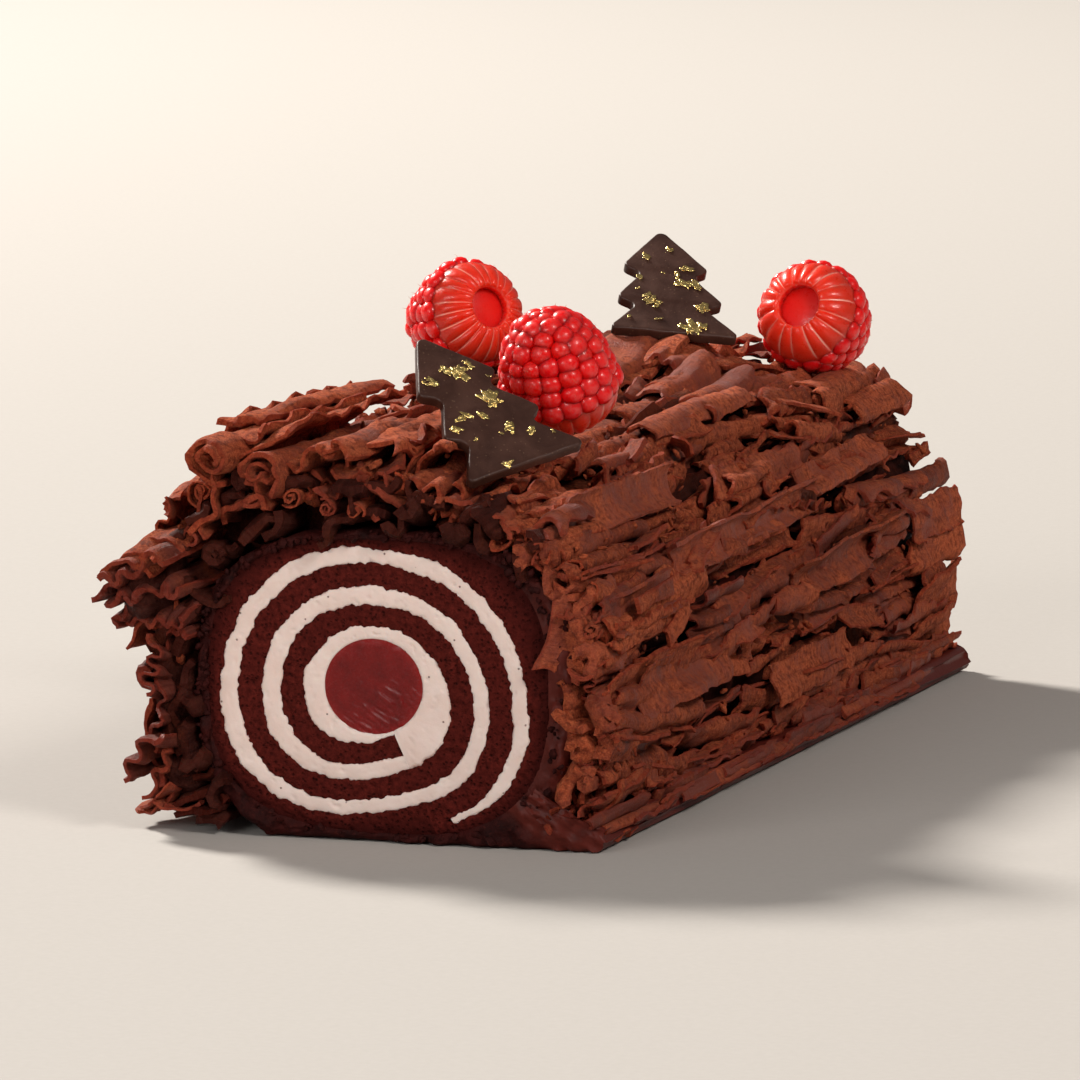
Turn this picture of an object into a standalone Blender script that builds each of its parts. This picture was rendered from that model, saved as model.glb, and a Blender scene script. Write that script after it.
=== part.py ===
"""Yule log cake: a dark sponge rolled with pale cream round a jelly core, dipped in chocolate, covered by a bark
of chocolate shavings and topped with three raspberries and two tree-shaped chocolate plaques.

X runs across the log, Y along it (the cut face shown first is at -Y) and Z up. The log rests on Z = 0.
"""

import math

import bmesh
import bpy
from mathutils import Matrix, Vector, noise
from mathutils.bvhtree import BVHTree
from mathutils.geometry import tessellate_polygon

# The log
LENGTH = 0.240
CORE_HEIGHT = 0.0282
CLEARANCE = 0.0003

# Jelly core
JELLY_HALF_WIDTH = 0.0093
JELLY_HALF_HEIGHT = 0.0087

# Sponge and cream, rolled up: the sheet winds outwards as its angle falls
SHEET_START_ANGLE = math.radians(295)
SHEET_START_RADIUS = 0.0088
SHEET_PITCH = 0.0077
SHEET_TIGHTENING = 0.0001
SPONGE_THICKNESS = 0.0044
CREAM_TURNS = 2.985
CREAM_TAPER_TURNS = 0.07
ROLL_CENTRE_X = 0.0008
ROLL_HALF_WIDTH = 0.0326
ROLL_HALF_HEIGHT = 0.0270
ROLL_SQUARENESS = 2.8

# Chocolate coat: it sags flat underneath, and spreads into a foot along the right of the base, wider at the back
COAT_CENTRE_X = 0.0020
COAT_HALF_WIDTH = 0.0356
COAT_HALF_HEIGHT = CORE_HEIGHT
COAT_SAG = 1.10
FOOT_RIGHT = 0.0435
FOOT_HEIGHT = 0.0045
FOOT_TOP_WIDTH = 0.0085
FOOT_FLARE = 0.0055

# Bark
BARK_HALF_RIGHT = 0.0445
BARK_HALF_LEFT = 0.0425
BARK_CENTRE_HEIGHT = 0.0300
BARK_TOP = 0.0678
BARK_SQUARENESS = 2.4
BARK_LEFT_BOTTOM = 0.0010
BARK_HUMP = 0.0070
BARK_HUMP_ANGLE = math.radians(130)
BARK_HUMP_SPREAD = math.radians(26)
BARK_SKIRT = 0.0022
BARK_SKIRT_FLARE = 0.0040
BARK_SKIRT_ANGLE = math.radians(-22)
BARK_SKIRT_SPREAD = math.radians(17)
BARK_SHORT_AT_BACK = 0.0110
BARK_ROUGHNESS = 0.0030
BARK_COLUMNS = 58
BARK_ROWS = 27
# Heaps that prop up the toppings, and the dip at the front: across, along, rise, half-size across and along
BARK_HEAPS = (
    (-0.0200, 0.0050, 0.0018, 0.012, 0.014),
    (0.0080, -0.0990, 0.0062, 0.010, 0.009),
    (0.0210, -0.1240, -0.0028, 0.015, 0.011),
    (0.0060, 0.0570, 0.0040, 0.014, 0.014),
)

# Raspberries
BERRY_HALF_WIDTH = 0.0101
BERRY_SHOULDER = 0.0054
BERRY_CROWN = 0.0160
BERRY_MOUTH = 0.0041
BERRY_HOLLOW_DEPTH = 0.0115
DRUPELETS_ROUND = 16
DRUPELET_ROWS = 6
DRUPELET_HEIGHT = 0.0009

# Tree plaques
TREE_WIDTH = 0.0254
TREE_HEIGHT = 0.0351
TREE_THICKNESS = 0.0021
TREE_CHAMFER = 0.0003


def clear_scene():
    for obj in list(bpy.data.objects):
        bpy.data.objects.remove(obj, do_unlink=True)


def make_material(name, colour, roughness, coat=0.0):
    material = bpy.data.materials.new(name)
    material.use_nodes = True
    shader = material.node_tree.nodes["Principled BSDF"]
    shader.inputs["Base Color"].default_value = (*colour, 1.0)
    shader.inputs["Roughness"].default_value = roughness
    shader.inputs["Metallic"].default_value = 0.0
    shader.inputs["Coat Weight"].default_value = coat
    return material


def add_object(name, mesh_builder, material, smooth_angle=None):
    mesh = bpy.data.meshes.new(name)
    mesh_builder.normal_update()
    mesh_builder.to_mesh(mesh)
    mesh_builder.free()
    mesh.materials.append(material)
    if smooth_angle is not None:
        mesh.shade_smooth()
        mesh.set_sharp_from_angle(angle=math.radians(smooth_angle))
    obj = bpy.data.objects.new(name, mesh)
    bpy.context.scene.collection.objects.link(obj)
    return obj


def prism(loops, levels):
    """A solid with straight sides between two levels: loops[0] is its outline, the rest are holes. Points are 2-D."""
    build = bmesh.new()
    flat = [point for loop in loops for point in loop]
    ends = [[build.verts.new((x, y, z)) for x, y in flat] for z in levels]
    triangles = tessellate_polygon([[Vector((x, y, 0)) for x, y in loop] for loop in loops])
    for corners in triangles:
        build.faces.new([ends[0][i] for i in corners])
        build.faces.new([ends[1][i] for i in corners])
    start = 0
    for loop in loops:
        count = len(loop)
        for i in range(count):
            a = start + i
            b = start + (i + 1) % count
            build.faces.new((ends[0][a], ends[0][b], ends[1][b], ends[1][a]))
        start += count
    bmesh.ops.recalc_face_normals(build, faces=build.faces)
    return build


def along_log(build):
    """Turns a prism drawn in X and Z, and raised in Y, the right way round."""
    bmesh.ops.transform(build, matrix=Matrix(((1, 0, 0, 0), (0, 0, 1, 0), (0, 1, 0, 0), (0, 0, 0, 1))), verts=build.verts)
    bmesh.ops.recalc_face_normals(build, faces=build.faces)
    return build


def superellipse(centre, half_width, half_height, squareness, count):
    points = []
    for i in range(count):
        angle = 2 * math.pi * i / count
        c = math.cos(angle)
        s = math.sin(angle)
        reach = (abs(c / half_width) ** squareness + abs(s / half_height) ** squareness) ** (-1 / squareness)
        points.append((centre[0] + reach * c, centre[1] + reach * s))
    return points


def sheet_radius(turn, layer):
    """Distance from the core's axis to the rolled sponge, turn turns along it: layer 0 is its inner face, 1 its outer."""
    angle = SHEET_START_ANGLE - 2 * math.pi * turn
    grown = SHEET_START_RADIUS + SHEET_PITCH * turn - SHEET_TIGHTENING * turn * turn + layer * SPONGE_THICKNESS
    oval = 1 + 0.061 * math.cos(2 * angle) - 0.016 * math.cos(4 * angle) - 0.026 * math.sin(3 * angle)
    drift_x = 0.0014 + 0.00025 * turn
    drift_z = 0.00175 - 0.00023 * turn
    return grown * oval - drift_x * math.cos(angle) - drift_z * math.sin(angle)


def sheet_point(turn, layer, offset):
    angle = SHEET_START_ANGLE - 2 * math.pi * turn
    radius = sheet_radius(turn, layer) + offset
    return (radius * math.cos(angle), CORE_HEIGHT + radius * math.sin(angle))


def cream_outline(offset):
    """The cream's outline, moved outwards by offset: round the core, then out between the turns of sponge to a point."""
    steps_per_turn = 28
    end = CREAM_TURNS + offset * 4
    outer = []
    steps = int(end * steps_per_turn)
    for i in range(steps + 1):
        turn = end * i / steps
        left = max(0.0, CREAM_TURNS - turn) / CREAM_TAPER_TURNS
        if turn > 1 and left < 1:
            low = sheet_radius(turn - 1, 1)
            high = sheet_radius(turn, 0)
            angle = SHEET_START_ANGLE - 2 * math.pi * turn
            radius = low + (high - low) * math.sqrt(left) + offset
            outer.append((radius * math.cos(angle), CORE_HEIGHT + radius * math.sin(angle)))
        else:
            outer.append(sheet_point(turn, 0, offset))
    steps = int((end - 1) * steps_per_turn)
    inner = []
    for i in range(steps + 1):
        turn = end - (end - 1) * i / steps
        inner.append(sheet_point(turn - 1, 1, -offset))
    # The sponge starts with a blunt end, so the outline steps inwards there.
    return outer + inner


def tilted_start(points, offset):
    """Moves the two points at the sponge's blunt end along the sheet, so that the cut end keeps its clearance too."""
    slide = offset / 0.013
    turned = []
    for index in (0, -1):
        x, z = points[index]
        c = math.cos(-slide)
        s = math.sin(-slide)
        z -= CORE_HEIGHT
        turned.append((x * c - z * s, CORE_HEIGHT + x * s + z * c))
    return [turned[0]] + points[1:-1] + [turned[1]]


def build_roll():
    half = CLEARANCE / 2
    ends = (-LENGTH / 2, LENGTH / 2)
    core = (0.0, CORE_HEIGHT)
    roll = superellipse((ROLL_CENTRE_X, CORE_HEIGHT), ROLL_HALF_WIDTH, ROLL_HALF_HEIGHT, ROLL_SQUARENESS, 64)
    sponge = along_log(prism([roll, tilted_start(cream_outline(half), half)], ends))
    add_object("sponge_roll", sponge, make_material("sponge", (0.062, 0.014, 0.011), 0.9), 35)
    hole = superellipse(core, JELLY_HALF_WIDTH + CLEARANCE, JELLY_HALF_HEIGHT + CLEARANCE, 2.0, 32)
    cream = along_log(prism([tilted_start(cream_outline(-half), -half), hole], ends))
    add_object("cream_filling", cream, make_material("cream", (0.66, 0.58, 0.51), 0.55), 35)
    jelly = along_log(prism([superellipse(core, JELLY_HALF_WIDTH, JELLY_HALF_HEIGHT, 2.0, 32)], ends))
    add_object("jelly_core", jelly, make_material("jelly", (0.17, 0.008, 0.009), 0.16, 0.6), 35)


def coat_reach(angle, grow):
    half_height = COAT_HALF_HEIGHT + grow
    if math.sin(angle) < 0:
        half_height = COAT_HALF_HEIGHT * COAT_SAG + grow
    across = abs(math.cos(angle) / (COAT_HALF_WIDTH + grow)) ** ROLL_SQUARENESS
    upright = abs(math.sin(angle) / half_height) ** ROLL_SQUARENESS
    return (across + upright) ** (-1 / ROLL_SQUARENESS)


def coat_outline(grow):
    """The coat's outside, anticlockwise from the right of the foot: round over the top, flat underneath."""
    top = FOOT_HEIGHT + grow
    corner = 0.0012
    points = [
        (FOOT_RIGHT - corner, 0.0),
        (FOOT_RIGHT, corner),
        (FOOT_RIGHT, top - corner),
        (FOOT_RIGHT - corner, top),
        (FOOT_RIGHT - FOOT_TOP_WIDTH, top),
    ]
    count = 64
    for i in range(count):
        angle = 2 * math.pi * i / count - math.pi / 2
        lowest = FOOT_HEIGHT + corner if math.cos(angle) > 0 else corner
        if CORE_HEIGHT + coat_reach(angle, 0.0) * math.sin(angle) > lowest:
            reach = coat_reach(angle, grow)
            points.append((COAT_CENTRE_X + reach * math.cos(angle), CORE_HEIGHT + reach * math.sin(angle)))
    last_x, last_z = points[-1]
    points.append((last_x + last_z * 1.2, 0.0))
    return points


def build_coat():
    hole = superellipse(
        (ROLL_CENTRE_X, CORE_HEIGHT),
        ROLL_HALF_WIDTH + CLEARANCE,
        ROLL_HALF_HEIGHT + CLEARANCE,
        ROLL_SQUARENESS,
        64,
    )
    coat = along_log(prism([coat_outline(0.0), hole], (-LENGTH / 2, LENGTH / 2)))
    for vertex in coat.verts:
        if vertex.co.x > FOOT_RIGHT - FOOT_TOP_WIDTH / 2 and vertex.co.z < FOOT_HEIGHT + CLEARANCE and vertex.co.y > 0:
            vertex.co.x += FOOT_FLARE
    add_object("chocolate_coat", coat, make_material("coat", (0.030, 0.0075, 0.0055), 0.3, 0.4), 35)


def crease(x, y, z):
    """Ridges with sharp valleys between them, from 0 in a valley to about 1."""
    return min(1.0, 2.4 * abs(noise.noise(Vector((x, y, z)))))


def bark_reach(angle, y):
    """Distance from the bark's axis to its ragged outside."""
    c = math.cos(angle)
    s = math.sin(angle)
    half_height = BARK_TOP - BARK_CENTRE_HEIGHT
    power = BARK_SQUARENESS
    half_width = BARK_HALF_RIGHT if c > 0 else BARK_HALF_LEFT
    reach = (abs(c / half_width) ** power + abs(s / half_height) ** power) ** (-1 / power)
    hump = BARK_HUMP * (0.85 - 0.3 * y / LENGTH)
    reach += hump * math.exp(-(((angle - BARK_HUMP_ANGLE) / BARK_HUMP_SPREAD) ** 2))
    skirt = BARK_SKIRT + BARK_SKIRT_FLARE * (y / LENGTH + 0.5)
    reach += skirt * math.exp(-(((angle - BARK_SKIRT_ANGLE) / BARK_SKIRT_SPREAD) ** 2))
    x = reach * c
    if s > 0:
        for across, along, rise, half_across, half_along in BARK_HEAPS:
            reach += rise * math.exp(-(((x - across) / half_across) ** 2) - (((y - along) / half_along) ** 2))
    slant = y * 10 - angle * 0.8
    coarse = crease(angle * 1.9, slant, 2.0) - 0.5
    fine = crease(angle * 5.2, y * 30, 7.3) - 0.5
    return reach + BARK_ROUGHNESS * (0.55 * coarse + 0.6 * fine)


def bark_ends(angle):
    """Where the bark starts and stops along the log: its ends are ragged, and it is short at the top of the far end."""
    s = max(0.0, math.sin(angle))
    rag = noise.noise(Vector((math.cos(angle) * 5, math.sin(angle) * 5, 3.7)))
    rag_back = noise.noise(Vector((math.cos(angle) * 5, math.sin(angle) * 5, 9.1)))
    overhang = 0.0050 * math.exp(-(((angle - math.radians(135)) / 0.6) ** 2))
    front = -LENGTH / 2 - overhang - 0.0008 + 0.0022 * rag
    back = LENGTH / 2 - BARK_SHORT_AT_BACK * s**1.3 + 0.0022 * rag_back
    return front, back


def build_bark():
    """An arch of shavings from the coat's foot over to the board on the left, out to its ragged outline."""
    inside = [point for point in coat_outline(CLEARANCE)[3:-1] if point[0] > COAT_CENTRE_X or point[1] > 0.004]
    right_bottom = FOOT_HEIGHT + CLEARANCE
    centre_z = BARK_CENTRE_HEIGHT
    low = math.atan2(right_bottom - centre_z, BARK_HALF_RIGHT - 0.0006)
    high = math.pi - math.atan2(BARK_LEFT_BOTTOM - centre_z, 0.0375)
    build = bmesh.new()
    outer = []
    for j in range(BARK_ROWS):
        row = []
        for i in range(BARK_COLUMNS):
            angle = low + (high - low) * i / (BARK_COLUMNS - 1)
            front, back = bark_ends(angle)
            y = front + (back - front) * j / (BARK_ROWS - 1)
            reach = bark_reach(angle, y)
            bottom = right_bottom if math.cos(angle) > 0 else BARK_LEFT_BOTTOM
            z = max(bottom, centre_z + reach * math.sin(angle))
            if i in (0, BARK_COLUMNS - 1):
                z = bottom
            row.append(build.verts.new((reach * math.cos(angle), y, z)))
        outer.append(row)
    inner = []
    for edge in (0, 1):
        row = []
        for x, z in inside:
            angle = math.atan2(z - centre_z, x)
            if angle < -math.pi / 2:
                angle += 2 * math.pi
            row.append(build.verts.new((x, bark_ends(angle)[edge], z)))
        inner.append(row)
    for lower, upper in zip(outer, outer[1:]):
        for i in range(BARK_COLUMNS - 1):
            build.faces.new((lower[i], lower[i + 1], upper[i + 1], upper[i]))
    for i in range(len(inside) - 1):
        build.faces.new((inner[0][i], inner[1][i], inner[1][i + 1], inner[0][i + 1]))
    join_rows(build, outer[0], inner[0])
    join_rows(build, outer[-1], inner[1])
    for column in (0, -1):
        join_rows(build, [row[column] for row in outer], [inner[0][column], inner[1][column]])
    bmesh.ops.recalc_face_normals(build, faces=build.faces)
    bmesh.ops.triangulate(build, faces=build.faces)
    return add_object("bark", build, make_material("bark", (0.150, 0.054, 0.031), 0.7), 50)


def join_rows(build, first, second):
    """Fills between two rows of points that run side by side, with as many triangles as both need."""
    i = 0
    j = 0
    while i < len(first) - 1 or j < len(second) - 1:
        if j == len(second) - 1 or (i < len(first) - 1 and (i + 1) / (len(first) - 1) <= (j + 1) / (len(second) - 1)):
            build.faces.new((first[i], first[i + 1], second[j]))
            i += 1
        else:
            build.faces.new((first[i], second[j + 1], second[j]))
            j += 1


def berry_profile(lean):
    """Radius and height above the widest part, for lean from -1 at the mouth's lip to 1 at the tip."""
    if lean < 0:
        swing = -lean * math.acos(BERRY_MOUTH / BERRY_HALF_WIDTH)
        return BERRY_HALF_WIDTH * math.cos(swing), -BERRY_SHOULDER * math.sin(swing)
    swing = lean * math.pi / 2
    return BERRY_HALF_WIDTH * math.cos(swing) ** 0.8, BERRY_CROWN * math.sin(swing) ** 1.06


def build_berry(name, material, place, axis, spin, scale, support):
    """A raspberry set down on its support: axis points out of its hollow end."""
    build = bmesh.new()
    columns = 2 * DRUPELETS_ROUND
    rows = 2 * DRUPELET_ROWS + 2
    rings = []
    for j in range(rows):
        lean = -0.72 + 1.60 * j / (rows - 1)
        radius, height = berry_profile(lean)
        ring = []
        for i in range(columns):
            peak = j % 2 == 1 and (i + j // 2) % 2 == 0
            out = DRUPELET_HEIGHT * min(1.0, radius / 0.008) * (1.0 if peak else -0.35)
            angle = 2 * math.pi * i / columns
            slope = math.atan2(height, radius * 1.4)
            reach = radius + out * math.cos(slope)
            ring.append(build.verts.new((reach * math.cos(angle), reach * math.sin(angle), height + out * math.sin(slope))))
        rings.append(ring)
    _, tip_height = berry_profile(1.0)
    tip = build.verts.new((0, 0, tip_height - 0.0008))
    hollow = []
    for radius, height in ((BERRY_MOUTH, -BERRY_SHOULDER * 0.93), (BERRY_MOUTH * 0.92, 0.0), (BERRY_MOUTH * 0.62, BERRY_HOLLOW_DEPTH * 0.3)):
        ring = []
        for i in range(DRUPELETS_ROUND):
            angle = 2 * math.pi * (i + 0.25) / DRUPELETS_ROUND
            ring.append(build.verts.new((radius * math.cos(angle), radius * math.sin(angle), height)))
        hollow.append(ring)
    bottom = build.verts.new((0, 0, BERRY_HOLLOW_DEPTH - BERRY_SHOULDER))
    for j in range(rows - 1):
        for i in range(columns):
            k = (i + 1) % columns
            a, b, c, d = rings[j][i], rings[j][k], rings[j + 1][k], rings[j + 1][i]
            # Split each square from its drupelet's peak.
            raised = (i + j // 2) % 2 == 0 if j % 2 == 1 else (k + (j + 1) // 2) % 2 == 0
            if raised:
                build.faces.new((a, b, c))
                build.faces.new((a, c, d))
            else:
                build.faces.new((a, b, d))
                build.faces.new((b, c, d))
    for i in range(columns):
        build.faces.new((rings[-1][i], rings[-1][(i + 1) % columns], tip))
    for i in range(DRUPELETS_ROUND):
        k = (i + 1) % DRUPELETS_ROUND
        first, second, third = (rings[0][(2 * i + n) % columns] for n in (0, 1, 2))
        build.faces.new((first, second, hollow[0][i]))
        build.faces.new((second, third, hollow[0][i]))
        build.faces.new((third, hollow[0][k], hollow[0][i]))
        for upper, lower in zip(hollow, hollow[1:]):
            build.faces.new((upper[i], upper[k], lower[k], lower[i]))
        build.faces.new((hollow[-1][i], hollow[-1][k], bottom))
    bmesh.ops.scale(build, vec=(scale, scale, scale), verts=build.verts)
    bmesh.ops.recalc_face_normals(build, faces=build.faces)
    obj = add_object(name, build, material, 60)
    turn = Vector((0, 0, -1)).rotation_difference(Vector(axis).normalized())
    obj.rotation_mode = "QUATERNION"
    obj.rotation_quaternion = turn @ Matrix.Rotation(math.radians(spin), 3, "Z").to_quaternion()
    obj.location = place
    set_down(obj, support)
    return obj


def surface_points(obj):
    """Points spread over obj's corners, edges and faces, in world space."""
    mesh = obj.data
    points = [vertex.co for vertex in mesh.vertices]
    for edge in mesh.edges:
        start, end = (mesh.vertices[i].co for i in edge.vertices)
        points += [start.lerp(end, n / 6) for n in range(1, 6)]
    points += [polygon.center for polygon in mesh.polygons]
    return [obj.matrix_world @ point for point in points]


def set_down(obj, support):
    """Raises or lowers obj until its least upright distance to support is the clearance."""
    bpy.context.view_layer.update()
    graph = bpy.context.evaluated_depsgraph_get()
    ground = BVHTree.FromObject(support, graph)
    above = BVHTree.FromObject(obj, graph)
    least = math.inf
    points = surface_points(obj)
    for point in points:
        hit, _, _, _ = ground.ray_cast(Vector((point.x, point.y, 0.2)), Vector((0, 0, -1)))
        if hit:
            least = min(least, point.z - hit.z)
    to_local = obj.matrix_world.inverted()
    upwards = to_local.to_3x3() @ Vector((0, 0, 1))
    middle = obj.matrix_world.translation
    for point in surface_points(support):
        if (point - middle).length > 0.045:
            continue
        hit, _, _, _ = above.ray_cast(to_local @ Vector((point.x, point.y, -0.1)), upwards)
        if hit:
            least = min(least, (obj.matrix_world @ hit).z - point.z)
    obj.location.z -= least - 1.5 * CLEARANCE


def rounded(corners):
    """The outline through corners, each rounded to its radius by a short arc."""
    points = []
    count = len(corners)
    for i, (x, y, radius) in enumerate(corners):
        here = Vector((x, y))
        before = (Vector(corners[i - 1][:2]) - here).normalized()
        after = (Vector(corners[(i + 1) % count][:2]) - here).normalized()
        half = before.angle(after) / 2
        reach = radius / math.tan(half)
        centre = here + (before + after).normalized() * (radius / math.sin(half))
        start = here + before * reach - centre
        end = here + after * reach - centre
        sweep = start.angle_signed(end)
        for n in range(4):
            turned = start.copy()
            turned.rotate(Matrix.Rotation(-sweep * n / 3, 2))
            points.append((centre.x + turned.x, centre.y + turned.y))
    return points


def tree_outline():
    """A fir tree of three tiers, anticlockwise, its base on y = 0."""
    half = TREE_WIDTH / 2
    right = [
        (half + 0.0008, 0.0, 0.0010),
        (0.0070, 0.0090, 0.0017),
        (0.0110, 0.0113, 0.0013),
        (0.0052, 0.0201, 0.0017),
        (0.0088, 0.0228, 0.0013),
    ]
    top = [(0.0, TREE_HEIGHT + 0.0012, 0.0015)]
    left = [(-x, y, radius) for x, y, radius in reversed(right)]
    return rounded(right + top + left)


def inset(points, amount):
    moved = []
    count = len(points)
    for i in range(count):
        before = Vector(points[i - 1])
        here = Vector(points[i])
        after = Vector(points[(i + 1) % count])
        along = (after - before).normalized()
        moved.append((here.x - along.y * amount, here.y + along.x * amount))
    return moved


def build_tree(name, material, place, turn, support):
    """A moulded plaque: its face looks along its own +Z, and place is the middle of its base edge."""
    outline = tree_outline()
    small = inset(outline, TREE_CHAMFER)
    levels = ((small, 0.0), (outline, -TREE_CHAMFER), (outline, -TREE_THICKNESS + TREE_CHAMFER), (small, -TREE_THICKNESS))
    build = bmesh.new()
    rings = [[build.verts.new((x, y, z)) for x, y in points] for points, z in levels]
    count = len(outline)
    for low, high in zip(rings, rings[1:]):
        for i in range(count):
            k = (i + 1) % count
            build.faces.new((low[i], low[k], high[k], high[i]))
    for corners in tessellate_polygon([[Vector((x, y, 0)) for x, y in small]]):
        build.faces.new([rings[0][i] for i in corners])
        build.faces.new([rings[-1][i] for i in corners])
    bmesh.ops.recalc_face_normals(build, faces=build.faces)
    obj = add_object(name, build, material, 40)
    obj.location = place
    obj.rotation_euler = [math.radians(angle) for angle in turn]
    set_down(obj, support)
    return obj


clear_scene()
build_roll()
build_coat()
bark = build_bark()
berry = make_material("raspberry", (0.62, 0.022, 0.026), 0.32, 0.3)
plaque = make_material("plaque", (0.040, 0.018, 0.013), 0.38, 0.1)
build_berry("raspberry_left", berry, (-0.0205, 0.0050, 0.0860), (0.76, -0.57, 0.31), 10, 1.02, bark)
build_berry("raspberry_middle", berry, (0.0192, -0.0660, 0.0755), (0.14, 0.38, -0.91), 25, 1.05, bark)
build_berry("raspberry_right", berry, (0.0242, 0.0835, 0.0775), (-0.26, -0.92, 0.29), 0, 1.05, bark)
build_tree("tree_plaque_back", plaque, (0.0049, 0.0550, 0.0746), (28.9, 5.8, 25.0), bark)
build_tree("tree_plaque_front", plaque, (0.0254, -0.1078, 0.0692), (35.7, -12.7, 52.0), bark)
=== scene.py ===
"""The looks of the yule log cake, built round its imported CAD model.

Lengths here are in millimetres unless a comment says otherwise. X runs across the log, Y along it (the cut face at
-Y is the front) and Z up. Meshes are turned into metres as they are made.
"""

import math

import bmesh
import bpy
import numpy as np
from mathutils import Euler, Matrix, Vector
from mathutils.geometry import tessellate_polygon


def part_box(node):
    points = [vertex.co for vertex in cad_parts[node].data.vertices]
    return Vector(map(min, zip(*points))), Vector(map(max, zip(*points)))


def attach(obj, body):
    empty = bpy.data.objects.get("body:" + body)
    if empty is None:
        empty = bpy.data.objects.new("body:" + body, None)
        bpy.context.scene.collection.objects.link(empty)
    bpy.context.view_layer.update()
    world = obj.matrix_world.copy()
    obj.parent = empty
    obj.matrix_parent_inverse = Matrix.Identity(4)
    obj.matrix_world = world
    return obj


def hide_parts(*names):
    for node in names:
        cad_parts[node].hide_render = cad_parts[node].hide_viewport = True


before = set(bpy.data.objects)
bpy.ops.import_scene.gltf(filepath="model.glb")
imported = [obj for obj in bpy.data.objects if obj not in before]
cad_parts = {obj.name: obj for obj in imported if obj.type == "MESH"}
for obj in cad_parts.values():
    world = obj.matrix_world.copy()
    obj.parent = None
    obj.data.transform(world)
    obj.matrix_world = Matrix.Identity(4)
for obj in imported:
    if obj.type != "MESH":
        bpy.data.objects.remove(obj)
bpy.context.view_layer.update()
MM = 0.001
TAU = 2 * math.pi

# The log's half length, and the height of its roll's axis
HALF = 120.0
AXIS = 28.2


# ---------------------------------------------------------------- noise
def lattice(i, j, k, seed):
    n = (i * 374761393 + j * 668265263 + k * 1440662683 + seed * 1274126177) & 0xFFFFFFFF
    n = ((n ^ (n >> 13)) * 1103515245) & 0xFFFFFFFF
    n = ((n ^ (n >> 15)) * 668265263) & 0xFFFFFFFF
    return ((n ^ (n >> 16)) & 0xFFFF) / 32767.5 - 1.0


def noise(x, y, z=0.0, seed=0):
    """Smooth noise from -1 to 1, with one swing per unit."""
    places = np.broadcast_arrays(np.asarray(x, float), np.asarray(y, float), np.asarray(z, float))
    whole = [np.floor(v).astype(np.int64) for v in places]
    fade = [(v - w) ** 2 * (3 - 2 * (v - w)) for v, w in zip(places, whole)]
    total = 0.0
    for corner in range(8):
        weight = 1.0
        index = []
        for axis in range(3):
            step = corner >> axis & 1
            weight = weight * (fade[axis] if step else 1 - fade[axis])
            index.append(whole[axis] + step)
        total = total + weight * lattice(*index, seed)
    return total


def fractal(x, y, z=0.0, seed=0, octaves=3):
    total = 0.0
    for octave in range(octaves):
        scale = 2.03**octave
        total = total + noise(x * scale, y * scale, z * scale, seed + octave) / 1.9**octave
    return total


# ---------------------------------------------------------------- meshes
# A face is four point numbers; a triangle repeats its third. This order turns either kind over.
FLIP = [1, 0, 3, 2]


def grid_quads(rows, columns, start=0, loop=False, loop_rows=False):
    """The squares of a grid of points; with loop, the last column joins the first."""
    index = np.arange(rows * columns).reshape(rows, columns) + start
    if loop:
        index = np.concatenate([index, index[:, :1]], axis=1)
    if loop_rows:
        index = np.concatenate([index, index[:1]], axis=0)
    return np.stack([index[:-1, :-1], index[:-1, 1:], index[1:, 1:], index[1:, :-1]], axis=-1).reshape(-1, 4)


def rim_quads(rows, columns, other):
    """Joins the border of a grid to that of a second one whose points start at other."""
    index = np.arange(rows * columns).reshape(rows, columns)
    border = np.concatenate([index[0, :-1], index[:-1, -1], index[-1, :0:-1], index[:0:-1, 0]])
    after = np.roll(border, -1)
    return np.stack([border, border + other, after + other, after], axis=-1)


def volume(points, quads):
    corners = points[quads]
    cross = np.cross(corners[:, 1] - corners[:, 0], corners[:, 2] - corners[:, 0])
    cross += np.cross(corners[:, 2] - corners[:, 0], corners[:, 3] - corners[:, 0])
    return float((corners.mean(axis=1) * cross).sum())


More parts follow.
